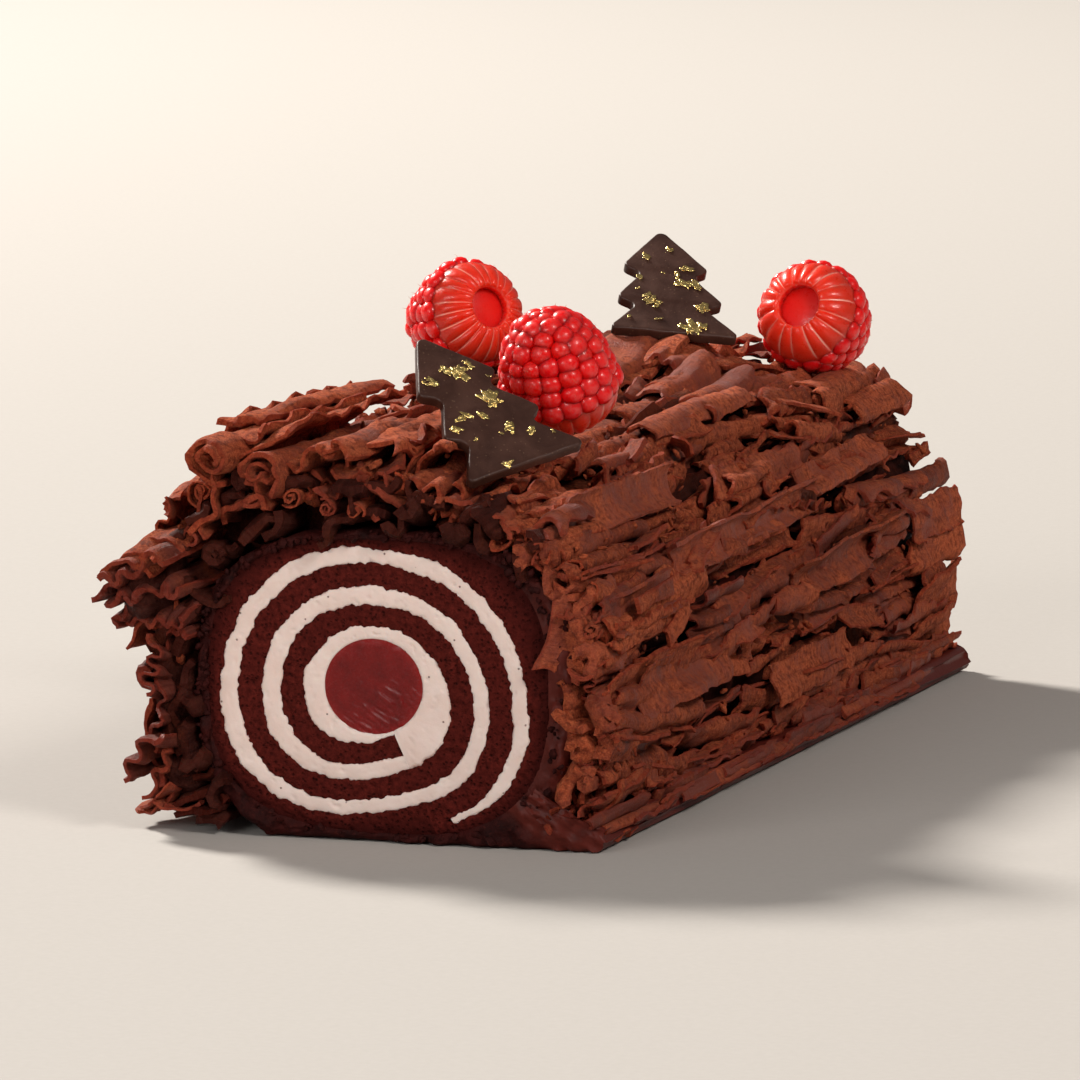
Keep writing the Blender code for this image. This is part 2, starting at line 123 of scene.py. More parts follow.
class Heap:
    """Gathers closed shells into one mesh, each with its own look and grain for the materials to read."""

    def __init__(self):
        self.points = []
        self.quads = []
        self.looks = []
        self.grains = []
        self.count = 0

    def add(self, points, quads, look=(0.0, 0.0, 0.0), grain=None):
        points = points.reshape(-1, 3)
        self.points.append(points)
        self.quads.append(quads + self.count)
        self.looks.append(np.broadcast_to(np.asarray(look, float), points.shape))
        self.grains.append(points if grain is None else grain.reshape(-1, 3))
        self.count += len(points)

    def slab(self, first, second, look=None, grain=None):
        """The closed shell between two grids of points."""
        rows, columns = first.shape[:2]
        size = rows * columns
        quads = np.concatenate(
            [grid_quads(rows, columns), grid_quads(rows, columns, size)[:, FLIP], rim_quads(rows, columns, size)]
        )
        points = np.concatenate([first.reshape(-1, 3), second.reshape(-1, 3)])
        if volume(points, quads) < 0:
            quads = quads[:, FLIP]
        looks = (0.0, 0.0, 0.0) if look is None else np.concatenate([look.reshape(-1, 3)] * 2)
        grains = None if grain is None else np.concatenate([grain.reshape(-1, 3)] * 2)
        self.add(points, quads, looks, grains)

    def piece(self, name, material, slot, nodes, sharp=50):
        """Turns the heap into one object that stands for the CAD nodes."""
        points = np.concatenate(self.points) * MM
        quads = np.concatenate(self.quads)
        mesh = bpy.data.meshes.new(name)
        mesh.vertices.add(len(points))
        mesh.vertices.foreach_set("co", points.astype(np.float32).ravel())
        triangle = quads[:, 2] == quads[:, 3]
        sizes = np.where(triangle, 3, 4)
        keep = np.ones(quads.shape, bool)
        keep[:, 3] = ~triangle
        corners = quads[keep]
        mesh.loops.add(len(corners))
        mesh.loops.foreach_set("vertex_index", corners.astype(np.int32))
        mesh.polygons.add(len(quads))
        mesh.polygons.foreach_set("loop_start", (np.cumsum(sizes) - sizes).astype(np.int32))
        mesh.polygons.foreach_set("loop_total", sizes.astype(np.int32))
        mesh.update(calc_edges=True)
        for label, rows in (("look", self.looks), ("grain", self.grains)):
            attribute = mesh.attributes.new(label, "FLOAT_VECTOR", "POINT")
            attribute.data.foreach_set("vector", np.concatenate(rows).astype(np.float32).ravel())
        mesh.validate()
        mesh.shade_smooth()
        mesh.set_sharp_from_angle(angle=math.radians(sharp))
        mesh.materials.append(material)
        obj = bpy.data.objects.new(name, mesh)
        bpy.context.scene.collection.objects.link(obj)
        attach(obj, "root")
        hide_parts(*nodes)
        return obj


def ball(divisions):
    """A round ball of radius 1: points, and triangles written as squares that repeat a corner."""
    mesh = bpy.data.meshes.new("ball")
    build = bmesh.new()
    bmesh.ops.create_icosphere(build, subdivisions=divisions, radius=1.0)
    build.to_mesh(mesh)
    build.free()
    points = np.array([vertex.co for vertex in mesh.vertices])
    faces = np.array([list(polygon.vertices) for polygon in mesh.polygons])
    bpy.data.meshes.remove(mesh)
    return points, np.concatenate([faces, faces[:, 2:]], axis=1)


# ---------------------------------------------------------------- materials
class Shading:
    """A node material under construction."""

    def __init__(self, name):
        self.material = bpy.data.materials.new(name)
        self.material.use_nodes = True
        self.tree = self.material.node_tree
        self.shader = self.tree.nodes["Principled BSDF"]

    def add(self, kind, inputs=None, output=0, **settings):
        made = self.tree.nodes.new(kind)
        for key, value in settings.items():
            setattr(made, key, value)
        for key, value in (inputs or {}).items():
            self.put(made.inputs[key], value)
        return made.outputs[output]

    def put(self, socket, value):
        if isinstance(value, bpy.types.NodeSocket):
            self.tree.links.new(value, socket)
        elif isinstance(value, tuple) and len(value) == 3 and len(socket.default_value) == 4:
            socket.default_value = (*value, 1.0)
        else:
            socket.default_value = value

    def set(self, **inputs):
        for key, value in inputs.items():
            self.put(self.shader.inputs[key.replace("_", " ")], value)

    def attribute(self, name):
        return self.add("ShaderNodeAttribute", attribute_name=name, output="Vector")

    def split(self, vector):
        parts = self.tree.nodes.new("ShaderNodeSeparateXYZ")
        self.tree.links.new(vector, parts.inputs[0])
        return parts.outputs[0], parts.outputs[1], parts.outputs[2]

    def math(self, operation, first, second=0.0, clamp=False):
        made = self.tree.nodes.new("ShaderNodeMath")
        made.operation = operation
        made.use_clamp = clamp
        self.put(made.inputs[0], first)
        self.put(made.inputs[1], second)
        return made.outputs[0]

    def stretch(self, vector, scale):
        return self.add("ShaderNodeVectorMath", {0: vector, 1: scale}, operation="MULTIPLY")

    def grain(self, vector, scale, detail=2.0, rough=0.55, distortion=0.0):
        return self.add(
            "ShaderNodeTexNoise",
            {"Vector": vector, "Scale": scale, "Detail": detail, "Roughness": rough, "Distortion": distortion},
            output="Fac",
        )

    def cells(self, vector, scale, feature="F1"):
        return self.add("ShaderNodeTexVoronoi", {"Vector": vector, "Scale": scale}, feature=feature, output="Distance")

    def ramp(self, value, low, high, first=0.0, last=1.0):
        return self.add(
            "ShaderNodeMapRange",
            {"Value": value, "From Min": low, "From Max": high, "To Min": first, "To Max": last},
            clamp=True,
        )

    def mix(self, amount, first, second, mode="MIX"):
        made = self.tree.nodes.new("ShaderNodeMix")
        made.data_type = "RGBA"
        made.blend_type = mode
        self.put(made.inputs[0], amount)
        self.put(made.inputs[6], first)
        self.put(made.inputs[7], second)
        return made.outputs[2]

    def bump(self, height, distance, strength=1.0, normal=None):
        inputs = {"Height": height, "Distance": distance, "Strength": strength}
        if normal is not None:
            inputs["Normal"] = normal
        return self.add("ShaderNodeBump", inputs)


def sponge_material():
    m = Shading("sponge_crumb")
    place = m.add("ShaderNodeTexCoord", output="Object")
    crumb = m.grain(place, 900, 4, 0.7)
    pits = m.cells(place, 1150)
    patches = m.grain(place, 160, 2, 0.5)
    outer, _, _ = m.split(m.attribute("look"))
    colour = m.mix(m.ramp(crumb, 0.3, 0.72), (0.034, 0.0036, 0.0028), (0.125, 0.0150, 0.0105))
    colour = m.mix(m.ramp(patches, 0.35, 0.7, 0.0, 0.45), colour, (0.060, 0.0065, 0.0050))
    # Near black in the pits: painted shade in the holes of the crumb
    colour = m.mix(m.ramp(pits, 0.0, 0.28, 0.8, 0.0), colour, (0.010, 0.0014, 0.0012))
    colour = m.mix(outer, colour, (0.028, 0.0030, 0.0024))
    height = m.math("ADD", m.math("MULTIPLY", crumb, 0.7), m.ramp(pits, 0.0, 0.4))
    m.set(Base_Color=colour, Roughness=0.9, Normal=m.bump(height, 0.00045, 1.0))
    m.shader.inputs["Specular IOR Level"].default_value = 0.07
    return m.material


def cream_material():
    m = Shading("whipped_cream")
    place = m.add("ShaderNodeTexCoord", output="Object")
    border, _, _ = m.split(m.attribute("look"))
    clouds = m.grain(place, 190, 3, 0.6)
    fine = m.grain(place, 1500, 3, 0.6)
    seeds = m.cells(place, 420)
    which = m.grain(place, 260, 1)
    colour = m.mix(m.ramp(clouds, 0.3, 0.75), (0.82, 0.67, 0.615), (0.74, 0.57, 0.51))
    stain = m.math("MULTIPLY", m.ramp(border, 0.35, 1.0), m.ramp(fine, 0.35, 0.65, 0.15, 0.75))
    colour = m.mix(stain, colour, (0.52, 0.26, 0.21))
    specks = m.math("MULTIPLY", m.ramp(seeds, 0.055, 0.10, 1.0, 0.0), m.ramp(which, 0.50, 0.54))
    colour = m.mix(m.math("MULTIPLY", specks, 0.8), colour, (0.12, 0.045, 0.035))
    height = m.math("ADD", m.math("MULTIPLY", fine, 0.35), m.math("MULTIPLY", specks, -1.0))
    m.set(Base_Color=colour, Roughness=0.50, Normal=m.bump(height, 0.00022, 0.7))
    m.set(Subsurface_Weight=0.25, Subsurface_Scale=0.002, Subsurface_Radius=(1.0, 0.5, 0.35))
    m.shader.inputs["Specular IOR Level"].default_value = 0.3
    return m.material


def jelly_material():
    m = Shading("berry_jelly")
    place = m.add("ShaderNodeTexCoord", output="Object")
    mottle = m.grain(place, 260, 3, 0.6)
    fine = m.grain(place, 1300, 3, 0.6)
    border, _, _ = m.split(m.attribute("look"))
    colour = m.mix(m.ramp(mottle, 0.3, 0.7), (0.115, 0.0018, 0.0018), (0.190, 0.0040, 0.0036))
    colour = m.mix(m.ramp(border, 0.4, 1.0, 0.0, 0.5), colour, (0.300, 0.010, 0.009))
    rough = m.ramp(fine, 0.35, 0.65, 0.20, 0.32)
    m.set(Base_Color=colour, Roughness=rough, Normal=m.bump(fine, 0.00006, 0.6))
    m.set(Subsurface_Weight=0.3, Subsurface_Scale=0.003, Subsurface_Radius=(1.0, 0.12, 0.10))
    m.shader.inputs["Specular IOR Level"].default_value = 0.24
    return m.material


def coat_material():
    m = Shading("chocolate_coat")
    place = m.add("ShaderNodeTexCoord", output="Object")
    gloss_and_painted_sheen, _, _ = m.split(m.attribute("look"))
    mottle = m.grain(place, 230, 4, 0.6)
    fine = m.grain(place, 1400, 3, 0.65)
    colour = m.mix(m.ramp(mottle, 0.32, 0.7), (0.012, 0.0010, 0.0008), (0.042, 0.0036, 0.0026))
    colour = m.mix(m.ramp(fine, 0.55, 0.8, 0.0, 0.4), colour, (0.105, 0.016, 0.010))
    # Lighter where glossy: painted sheen
    colour = m.mix(m.math("MULTIPLY", gloss_and_painted_sheen, 0.7), colour, (0.125, 0.0185, 0.0120))
    rough = m.ramp(gloss_and_painted_sheen, 0.0, 1.0, 0.75, 0.42)
    height = m.math("ADD", m.math("MULTIPLY", mottle, 1.0), m.math("MULTIPLY", fine, 0.45))
    bump = m.bump(height, 0.0006, m.ramp(gloss_and_painted_sheen, 0.0, 1.0, 0.9, 0.2))
    m.set(Base_Color=colour, Roughness=rough, Normal=bump)
    m.shader.inputs["Specular IOR Level"].default_value = 0.13
    return m.material


def shaving_material(name, clean, shade):
    """Scraped chocolate: clean is how much of it shows through the cocoa dust; shade scales its colour, darker below 1
    as painted shade for the deep and packed layers, lighter above 1 for the outer ones.
    """
    m = Shading(name)
    place = m.add("ShaderNodeTexCoord", output="Object")
    grain = m.attribute("grain")
    tone, dust, edge = m.split(m.attribute("look"))
    ribs = m.grain(m.stretch(grain, (0.05, 2.3, 1.0)), 1.0, 2, 0.6, 0.25)
    streaks = m.grain(m.stretch(grain, (1.1, 0.05, 1.0)), 1.0, 3, 0.6, 0.4)
    patches = m.grain(place, 95, 4, 0.62)
    powder = m.grain(place, 3000, 3, 0.75)
    clumps = m.grain(place, 800, 3, 0.6)
    dusty = m.math("ADD", m.math("ADD", dust, m.ramp(patches, 0.28, 0.72, -0.75, 0.65)), 0.35 - clean, clamp=True)
    bare = m.mix(tone, (0.040, 0.0050, 0.0032), (0.190, 0.0420, 0.0255))
    bare = m.mix(m.ramp(streaks, 0.35, 0.7, 0.0, 0.5), bare, (0.215, 0.062, 0.044))
    cocoa = m.mix(tone, (0.155, 0.0270, 0.0100), (0.310, 0.0700, 0.0285))
    cocoa = m.mix(m.ramp(powder, 0.40, 0.68, 0.0, 0.85), cocoa, (0.500, 0.132, 0.056))
    cocoa = m.mix(m.ramp(clumps, 0.46, 0.66, 0.0, 0.75), cocoa, (0.075, 0.0115, 0.0050))
    # Darker streaks in the cocoa: painted shade for cracks between the layers
    cocoa = m.mix(m.ramp(streaks, 0.50, 0.72, 0.0, 0.55), cocoa, (0.080, 0.0125, 0.0055))
    colour = m.mix(dusty, bare, cocoa)
    # Red-orange near the borders of each shaving: painted glow of light through the thin edges
    colour = m.mix(m.ramp(edge, 0.45, 1.0, 0.0, 0.45), colour, (0.215, 0.024, 0.010))
    # shade darkens the deep and packed copies as painted shade and lightens the others
    colour = m.mix(1.0, colour, (shade, shade * 0.91, shade * 0.86), "MULTIPLY")
    rough = m.ramp(dusty, 0.0, 1.0, 0.46, 0.95)
    height = m.math("ADD", m.math("MULTIPLY", ribs, 0.50), m.math("MULTIPLY", streaks, 0.35))
    height = m.math("ADD", height, m.math("MULTIPLY", m.math("ADD", powder, clumps), 0.65))
    m.set(Base_Color=colour, Roughness=rough, Normal=m.bump(height, 0.0009, 0.95))
    m.shader.inputs["Specular IOR Level"].default_value = min(0.18, 0.18 * shade)
    m.set(Subsurface_Weight=0.10, Subsurface_Scale=0.0015, Subsurface_Radius=(1.0, 0.15, 0.06))
    return m.material


def core_material():
    m = Shading("bark_core")
    place = m.add("ShaderNodeTexCoord", output="Object")
    mottle = m.grain(place, 300, 4, 0.65)
    fine = m.grain(place, 1600, 3, 0.7)
    # Very dark: partly the dark chocolate under the shavings, partly painted shade in the gaps between them
    colour = m.mix(m.ramp(mottle, 0.3, 0.72), (0.014, 0.0022, 0.0014), (0.055, 0.0090, 0.0050))
    colour = m.mix(m.ramp(fine, 0.5, 0.8, 0.0, 0.5), colour, (0.110, 0.021, 0.011))
    m.set(Base_Color=colour, Roughness=0.9, Normal=m.bump(m.math("ADD", mottle, fine), 0.0006, 0.9))
    m.shader.inputs["Specular IOR Level"].default_value = 0.1
    return m.material


def berry_material():
    m = Shading("raspberry_flesh")
    place = m.add("ShaderNodeTexCoord", output="Object")
    peak_highlight_and_pale_line, flesh, tone = m.split(m.attribute("look"))
    mottle = m.grain(place, 330, 3, 0.6)
    film = m.grain(place, 900, 4, 0.7)
    # Lighter red towards the outward tops of the drupelets: painted highlight. Values above 1 paint the pale lines and
    # rim of the hollow
    colour = m.mix(m.ramp(peak_highlight_and_pale_line, 0.0, 0.8), (0.800, 0.0016, 0.0045), (0.960, 0.0060, 0.0090))
    colour = m.mix(m.math("MULTIPLY", tone, 0.5), colour, (0.950, 0.0140, 0.0080))
    colour = m.mix(flesh, colour, (1.0, 0.0420, 0.0130))
    # A pinkish sheen on the drupelet tops: painted highlight
    painted_sheen = m.math("MULTIPLY", m.ramp(peak_highlight_and_pale_line, 0.55, 1.0), m.ramp(film, 0.42, 0.68, 0.0, 0.24))
    colour = m.mix(painted_sheen, colour, (0.900, 0.360, 0.330))
    colour = m.mix(m.ramp(peak_highlight_and_pale_line, 1.1, 2.0), colour, (1.0, 0.40, 0.31))
    rough = m.ramp(film, 0.35, 0.7, 0.24, 0.46)
    m.set(Base_Color=colour, Roughness=rough, Normal=m.bump(m.math("ADD", film, mottle), 0.00012, 0.6))
    m.set(Subsurface_Weight=m.ramp(peak_highlight_and_pale_line, 1.0, 1.5, 0.75, 0.25), Subsurface_Scale=0.0045, Subsurface_Radius=(1.0, 0.09, 0.05))
    m.set(Coat_Weight=0.25, Coat_Roughness=0.10)
    m.shader.inputs["Specular IOR Level"].default_value = 0.25
    return m.material


def hair_material():
    m = Shading("raspberry_hairs")
    place = m.add("ShaderNodeTexCoord", output="Object")
    shade = m.grain(place, 900, 1)
    m.set(Base_Color=m.mix(shade, (0.34, 0.085, 0.030), (0.66, 0.33, 0.14)), Roughness=0.5)
    return m.material


def plaque_material():
    m = Shading("plaque_chocolate")
    place = m.add("ShaderNodeTexCoord", output="Object")
    smears = m.grain(place, 140, 4, 0.62, 0.6)
    grains = m.cells(place, 1250)
    pick = m.grain(place, 700, 1)
    fine = m.grain(place, 2600, 2, 0.6)
    colour = m.mix(m.ramp(smears, 0.3, 0.72), (0.0330, 0.0120, 0.0080), (0.0680, 0.0260, 0.0165))
    specks = m.math("MULTIPLY", m.ramp(grains, 0.10, 0.20, 1.0, 0.0), m.ramp(pick, 0.46, 0.56))
    colour = m.mix(m.math("MULTIPLY", specks, 0.5), colour, (0.24, 0.140, 0.085))
    rough = m.ramp(smears, 0.3, 0.7, 0.33, 0.52)
    height = m.math("ADD", m.math("MULTIPLY", fine, 0.3), m.math("MULTIPLY", smears, 1.2))
    m.set(Base_Color=colour, Roughness=rough, Normal=m.bump(height, 0.00018, 0.6))
    m.shader.inputs["Specular IOR Level"].default_value = 0.3
    return m.material


def gold_material():
    m = Shading("gold_leaf")
    place = m.add("ShaderNodeTexCoord", output="Object")
    folds = m.grain(place, 1500, 3, 0.6)
    colour = m.mix(folds, (0.95, 0.62, 0.16), (1.0, 0.80, 0.36))
    m.set(Base_Color=colour, Metallic=1.0, Roughness=0.26, Normal=m.bump(folds, 0.0003, 0.9))
    return m.material


# ---------------------------------------------------------------- the roll
START_ANGLE = math.radians(295)


def sheet(turn, layer):
    """Distance from the axis to the rolled sponge, turn turns along it: layer 0 is its inner face, 1 its outer."""
    angle = START_ANGLE - TAU * turn
    grown = 8.8 + 7.7 * turn - 0.1 * turn * turn + layer * 4.4
    oval = 1 + 0.061 * np.cos(2 * angle) - 0.016 * np.cos(4 * angle) - 0.026 * np.sin(3 * angle)
    return grown * oval - (1.4 + 0.25 * turn) * np.cos(angle) - (1.75 - 0.23 * turn) * np.sin(angle)


def ellipse_reach(angle, half_width, half_height, power):
    return (np.abs(np.cos(angle) / half_width) ** power + np.abs(np.sin(angle) / half_height) ** power) ** (-1 / power)


def roll_reach(angle):
    """Distance from the axis to the outside of the roll, whose centre is 0.8 to the right."""
    return ellipse_reach(angle, 32.6, 27.0, 2.8) + 0.8 * np.cos(angle)


def ragged(turn, radius, seed, size=1.0):
    """Adds the sponge's torn border to a radius."""
    angle = START_ANGLE - TAU * turn
    x = radius * np.cos(angle)
    z = radius * np.sin(angle)
    coarse = 0.30 * noise(x / 3.1, z / 3.1, 0, seed)
    fine = 0.26 * noise(x / 0.85, z / 0.85, 0, seed + 1) + 0.12 * noise(x / 0.4, z / 0.4, 0, seed + 2)
    return radius + size * (coarse + fine)


def crumb_relief(x, z, seed):
    """How far the cut sponge stands out of the face."""
    lumps = 0.16 * fractal(x / 0.95, z / 0.95, 0, seed, 3)
    pits = np.clip(noise(x / 0.75, z / 0.75, 0, seed + 7) - 0.42, 0, 1) * 0.9
    return 0.05 + lumps - pits + 0.12 * noise(x / 7, z / 7, 0, seed + 9)


def even_turns(first, last, step):
    """Turns along the spiral, spaced evenly along its length."""
    fine = np.linspace(first, last, 400)
    length = np.concatenate([[0], np.cumsum(np.diff(fine) * TAU * (9 + 7.7 * fine[1:]))])
    return np.interp(np.linspace(0, length[-1], max(3, int(length[-1] / step))), length, fine)


def face_grid(turns, inner, outer, columns, relief, end):
    """Points across one cut face between two radii: end is -1 for the front, 1 for the back."""
    share = np.linspace(0, 1, columns)
    radius = inner[:, None] + (outer - inner)[:, None] * share
    angle = (START_ANGLE - TAU * turns)[:, None]
    x = radius * np.cos(angle)
    z = radius * np.sin(angle)
    y = end * (HALF + relief(x, z, share[None, :] + 0 * x))
    return np.stack([x, y, z + AXIS], axis=-1)


def strip(heap, turns, edges, columns, relief, look):
    """A band of the roll, from the front face through to the back one."""
    faces = []
    for end, seed in ((-1, 11), (1, 53)):
        inner, outer = edges(turns, seed)
        faces.append(face_grid(turns, inner, outer, columns, lambda x, z, share: relief(x, z, share, seed), end))
    share = np.broadcast_to(np.linspace(0, 1, columns), faces[0].shape[:2])
    heap.slab(faces[0], faces[1], look(share, turns[:, None] + 0 * share))


def arm_taper(turn):
    left = np.clip((2.985 - turn) / 0.07, 0, 1)
    return np.sqrt(left)


def cream_outer(turn, seed):
    """The cream's outer border: it ends in a point between two turns of sponge."""
    low = sheet(turn - 1, 1)
    high = sheet(turn, 0)
    return np.where(turn > 1.02, low + (high - low) * arm_taper(turn), high)


def build_roll():
    sponge = Heap()
    cream = Heap()

    def sponge_relief(x, z, share, seed):
        rim = np.minimum(share, 1 - share)
        return crumb_relief(x, z, seed) - 0.10 * np.exp(-rim / 0.06)

    def inner_strip(turn, seed):
        return ragged(turn, sheet(turn, 0), seed), ragged(turn, sheet(turn, 1), seed + 20)

    def outer_ring(turn, seed):
        low = cream_outer(turn, seed)
        angle = START_ANGLE - TAU * turn
        return ragged(turn, low, seed), roll_reach(angle) + 0.25 * noise(angle * 9, 0.5, 0, seed)

    def dark_outside(share, turn):
        shade = np.where(turn > 2, np.clip(share * 1.25 - 0.2, 0, 0.85), 0.0)
        return np.stack([shade, 0 * shade, 0 * shade], axis=-1)

    strip(sponge, even_turns(0, 2, 0.34), inner_strip, 15, sponge_relief, dark_outside)
    strip(sponge, even_turns(2, 3, 0.38), outer_ring, 16, sponge_relief, dark_outside)
    sponge.piece("sponge", sponge_material(), "sponge", ["sponge_roll"], 80)

    def cream_relief(x, z, share, seed):
        swell = 0.20 * np.clip(1 - (2 * share - 1) ** 4, 0, 1)
        pits = np.clip(noise(x / 0.6, z / 0.6, 0, seed + 31) - 0.62, 0, 1) * 0.8
        return -0.10 + swell + 0.07 * fractal(x / 2.6, z / 2.6, 0, seed + 33, 3) - pits

    def ring_edges(turn, seed):
        angle = START_ANGLE - TAU * turn
        return ellipse_reach(angle, 9.25, 8.65, 2.0), ragged(turn, sheet(turn, 0), seed) + 0.14

    def arm_edges(turn, seed):
        low = sheet(turn - 1, 1)
        high = cream_outer(turn, seed)
        return ragged(turn - 1, low, seed + 20) - 0.14, np.maximum(ragged(turn, high, seed) + 0.14, low)

    def near_border(share, turn):
        near = np.exp(-np.minimum(share, 1 - share) / 0.09)
        near = np.where((turn <= 1) & (share < 0.5), 0.0, near)
        return np.stack([near, 0 * near, 0 * near], axis=-1)

    strip(cream, even_turns(0, 1, 0.36), ring_edges, 13, cream_relief, near_border)
    strip(cream, even_turns(1, 2.98, 0.38), arm_edges, 12, cream_relief, near_border)
    cream.piece("cream", cream_material(), "cream", ["cream_filling"], 80)


def build_jelly():
    """The jelly core: smooth at the top of its face, with fine ripples where the knife left it at the bottom right."""
    heap = Heap()
    rings = np.linspace(0.02, 1, 38)
    angles = np.linspace(0, TAU, 141)[:-1]
    angle, share = np.meshgrid(angles, rings)
    reach = ellipse_reach(angle, 9.3, 8.7, 2.0) * share
    x = reach * np.cos(angle)
    z = reach * np.sin(angle)
    faces = []
    for end, seed in ((-1, 3), (1, 8)):
        across = x * 0.80 - z * 0.60
        along = x * 0.60 + z * 0.80
        wobble = 0.9 * noise(x / 2.3, z / 2.3, 0, seed)
        waves = noise(across / 1.7 + wobble, along / 0.42 + 0.8 * wobble, 0, seed + 1)
        mask = np.clip((-z + 0.55 * x * -end + 0.8) / 6.0, 0, 1)
        relief = 0.16 * mask * waves + 0.05 * fractal(x / 2.2, z / 2.2, 0, seed + 2) + 0.12 * (1 - share**6)
        faces.append(np.stack([x, end * (HALF - 0.02 + relief), z + AXIS], axis=-1))
    rows, columns = x.shape
    size = rows * columns
    inner = np.arange(columns)
    after = np.roll(inner, -1)
    outer = inner + size - columns
    beside = after + size - columns
    middle = 0 * inner + 2 * size
    quads = np.concatenate(
        [
            grid_quads(rows, columns, 0, True),
            grid_quads(rows, columns, size, True)[:, FLIP],
            np.stack([outer, beside, beside + size, outer + size], axis=-1),
            np.stack([after, inner, middle, middle], axis=-1),
            np.stack([inner + size, after + size, middle + 1, middle + 1], axis=-1),
        ]
    )
    middles = [np.array([[0.0, face[0, :, 1].mean(), AXIS]]) for face in faces]
    points = np.concatenate([faces[0].reshape(-1, 3), faces[1].reshape(-1, 3)] + middles)
    if volume(points, quads) < 0:
        quads = quads[:, FLIP]
    look = np.zeros((2 * size + 2, 3))
    look[: 2 * size, 0] = np.tile(share.ravel() ** 5, 2)
    heap.add(points, quads, look)
    heap.piece("jelly", jelly_material(), "jelly", ["jelly_core"], 80)


# ---------------------------------------------------------------- coat and core
FOOT_FLARE = 5.5


def coat_outline():
    """The coat's outside, evenly spaced points anticlockwise from the right of the foot."""
    points = [(42.3, 0.0), (43.3, 0.5), (43.5, 1.4), (43.4, 3.4), (42.2, 4.5)]
    for angle in np.linspace(-math.pi / 2, 1.5 * math.pi, 128, endpoint=False):
        half_height = 28.2 if math.sin(angle) >= 0 else 28.2 * 1.10
        reach = float(ellipse_reach(angle, 35.6, half_height, 2.8))
        x = 2.0 + reach * math.cos(angle)
        z = AXIS + reach * math.sin(angle)
        if z > (5.7 if x > 2 else 1.2):
            points.append((x, z))
    last_x, last_z = points[-1]
    points.append((last_x + last_z * 1.2, 0.0))
    points.append(points[0])
    points = np.array(points)
    length = np.concatenate([[0], np.cumsum(np.linalg.norm(np.diff(points, axis=0), axis=1))])
    even = np.linspace(0, length[-1], 301)[:-1]
    return np.interp(even, length, points[:, 0]), np.interp(even, length, points[:, 1])


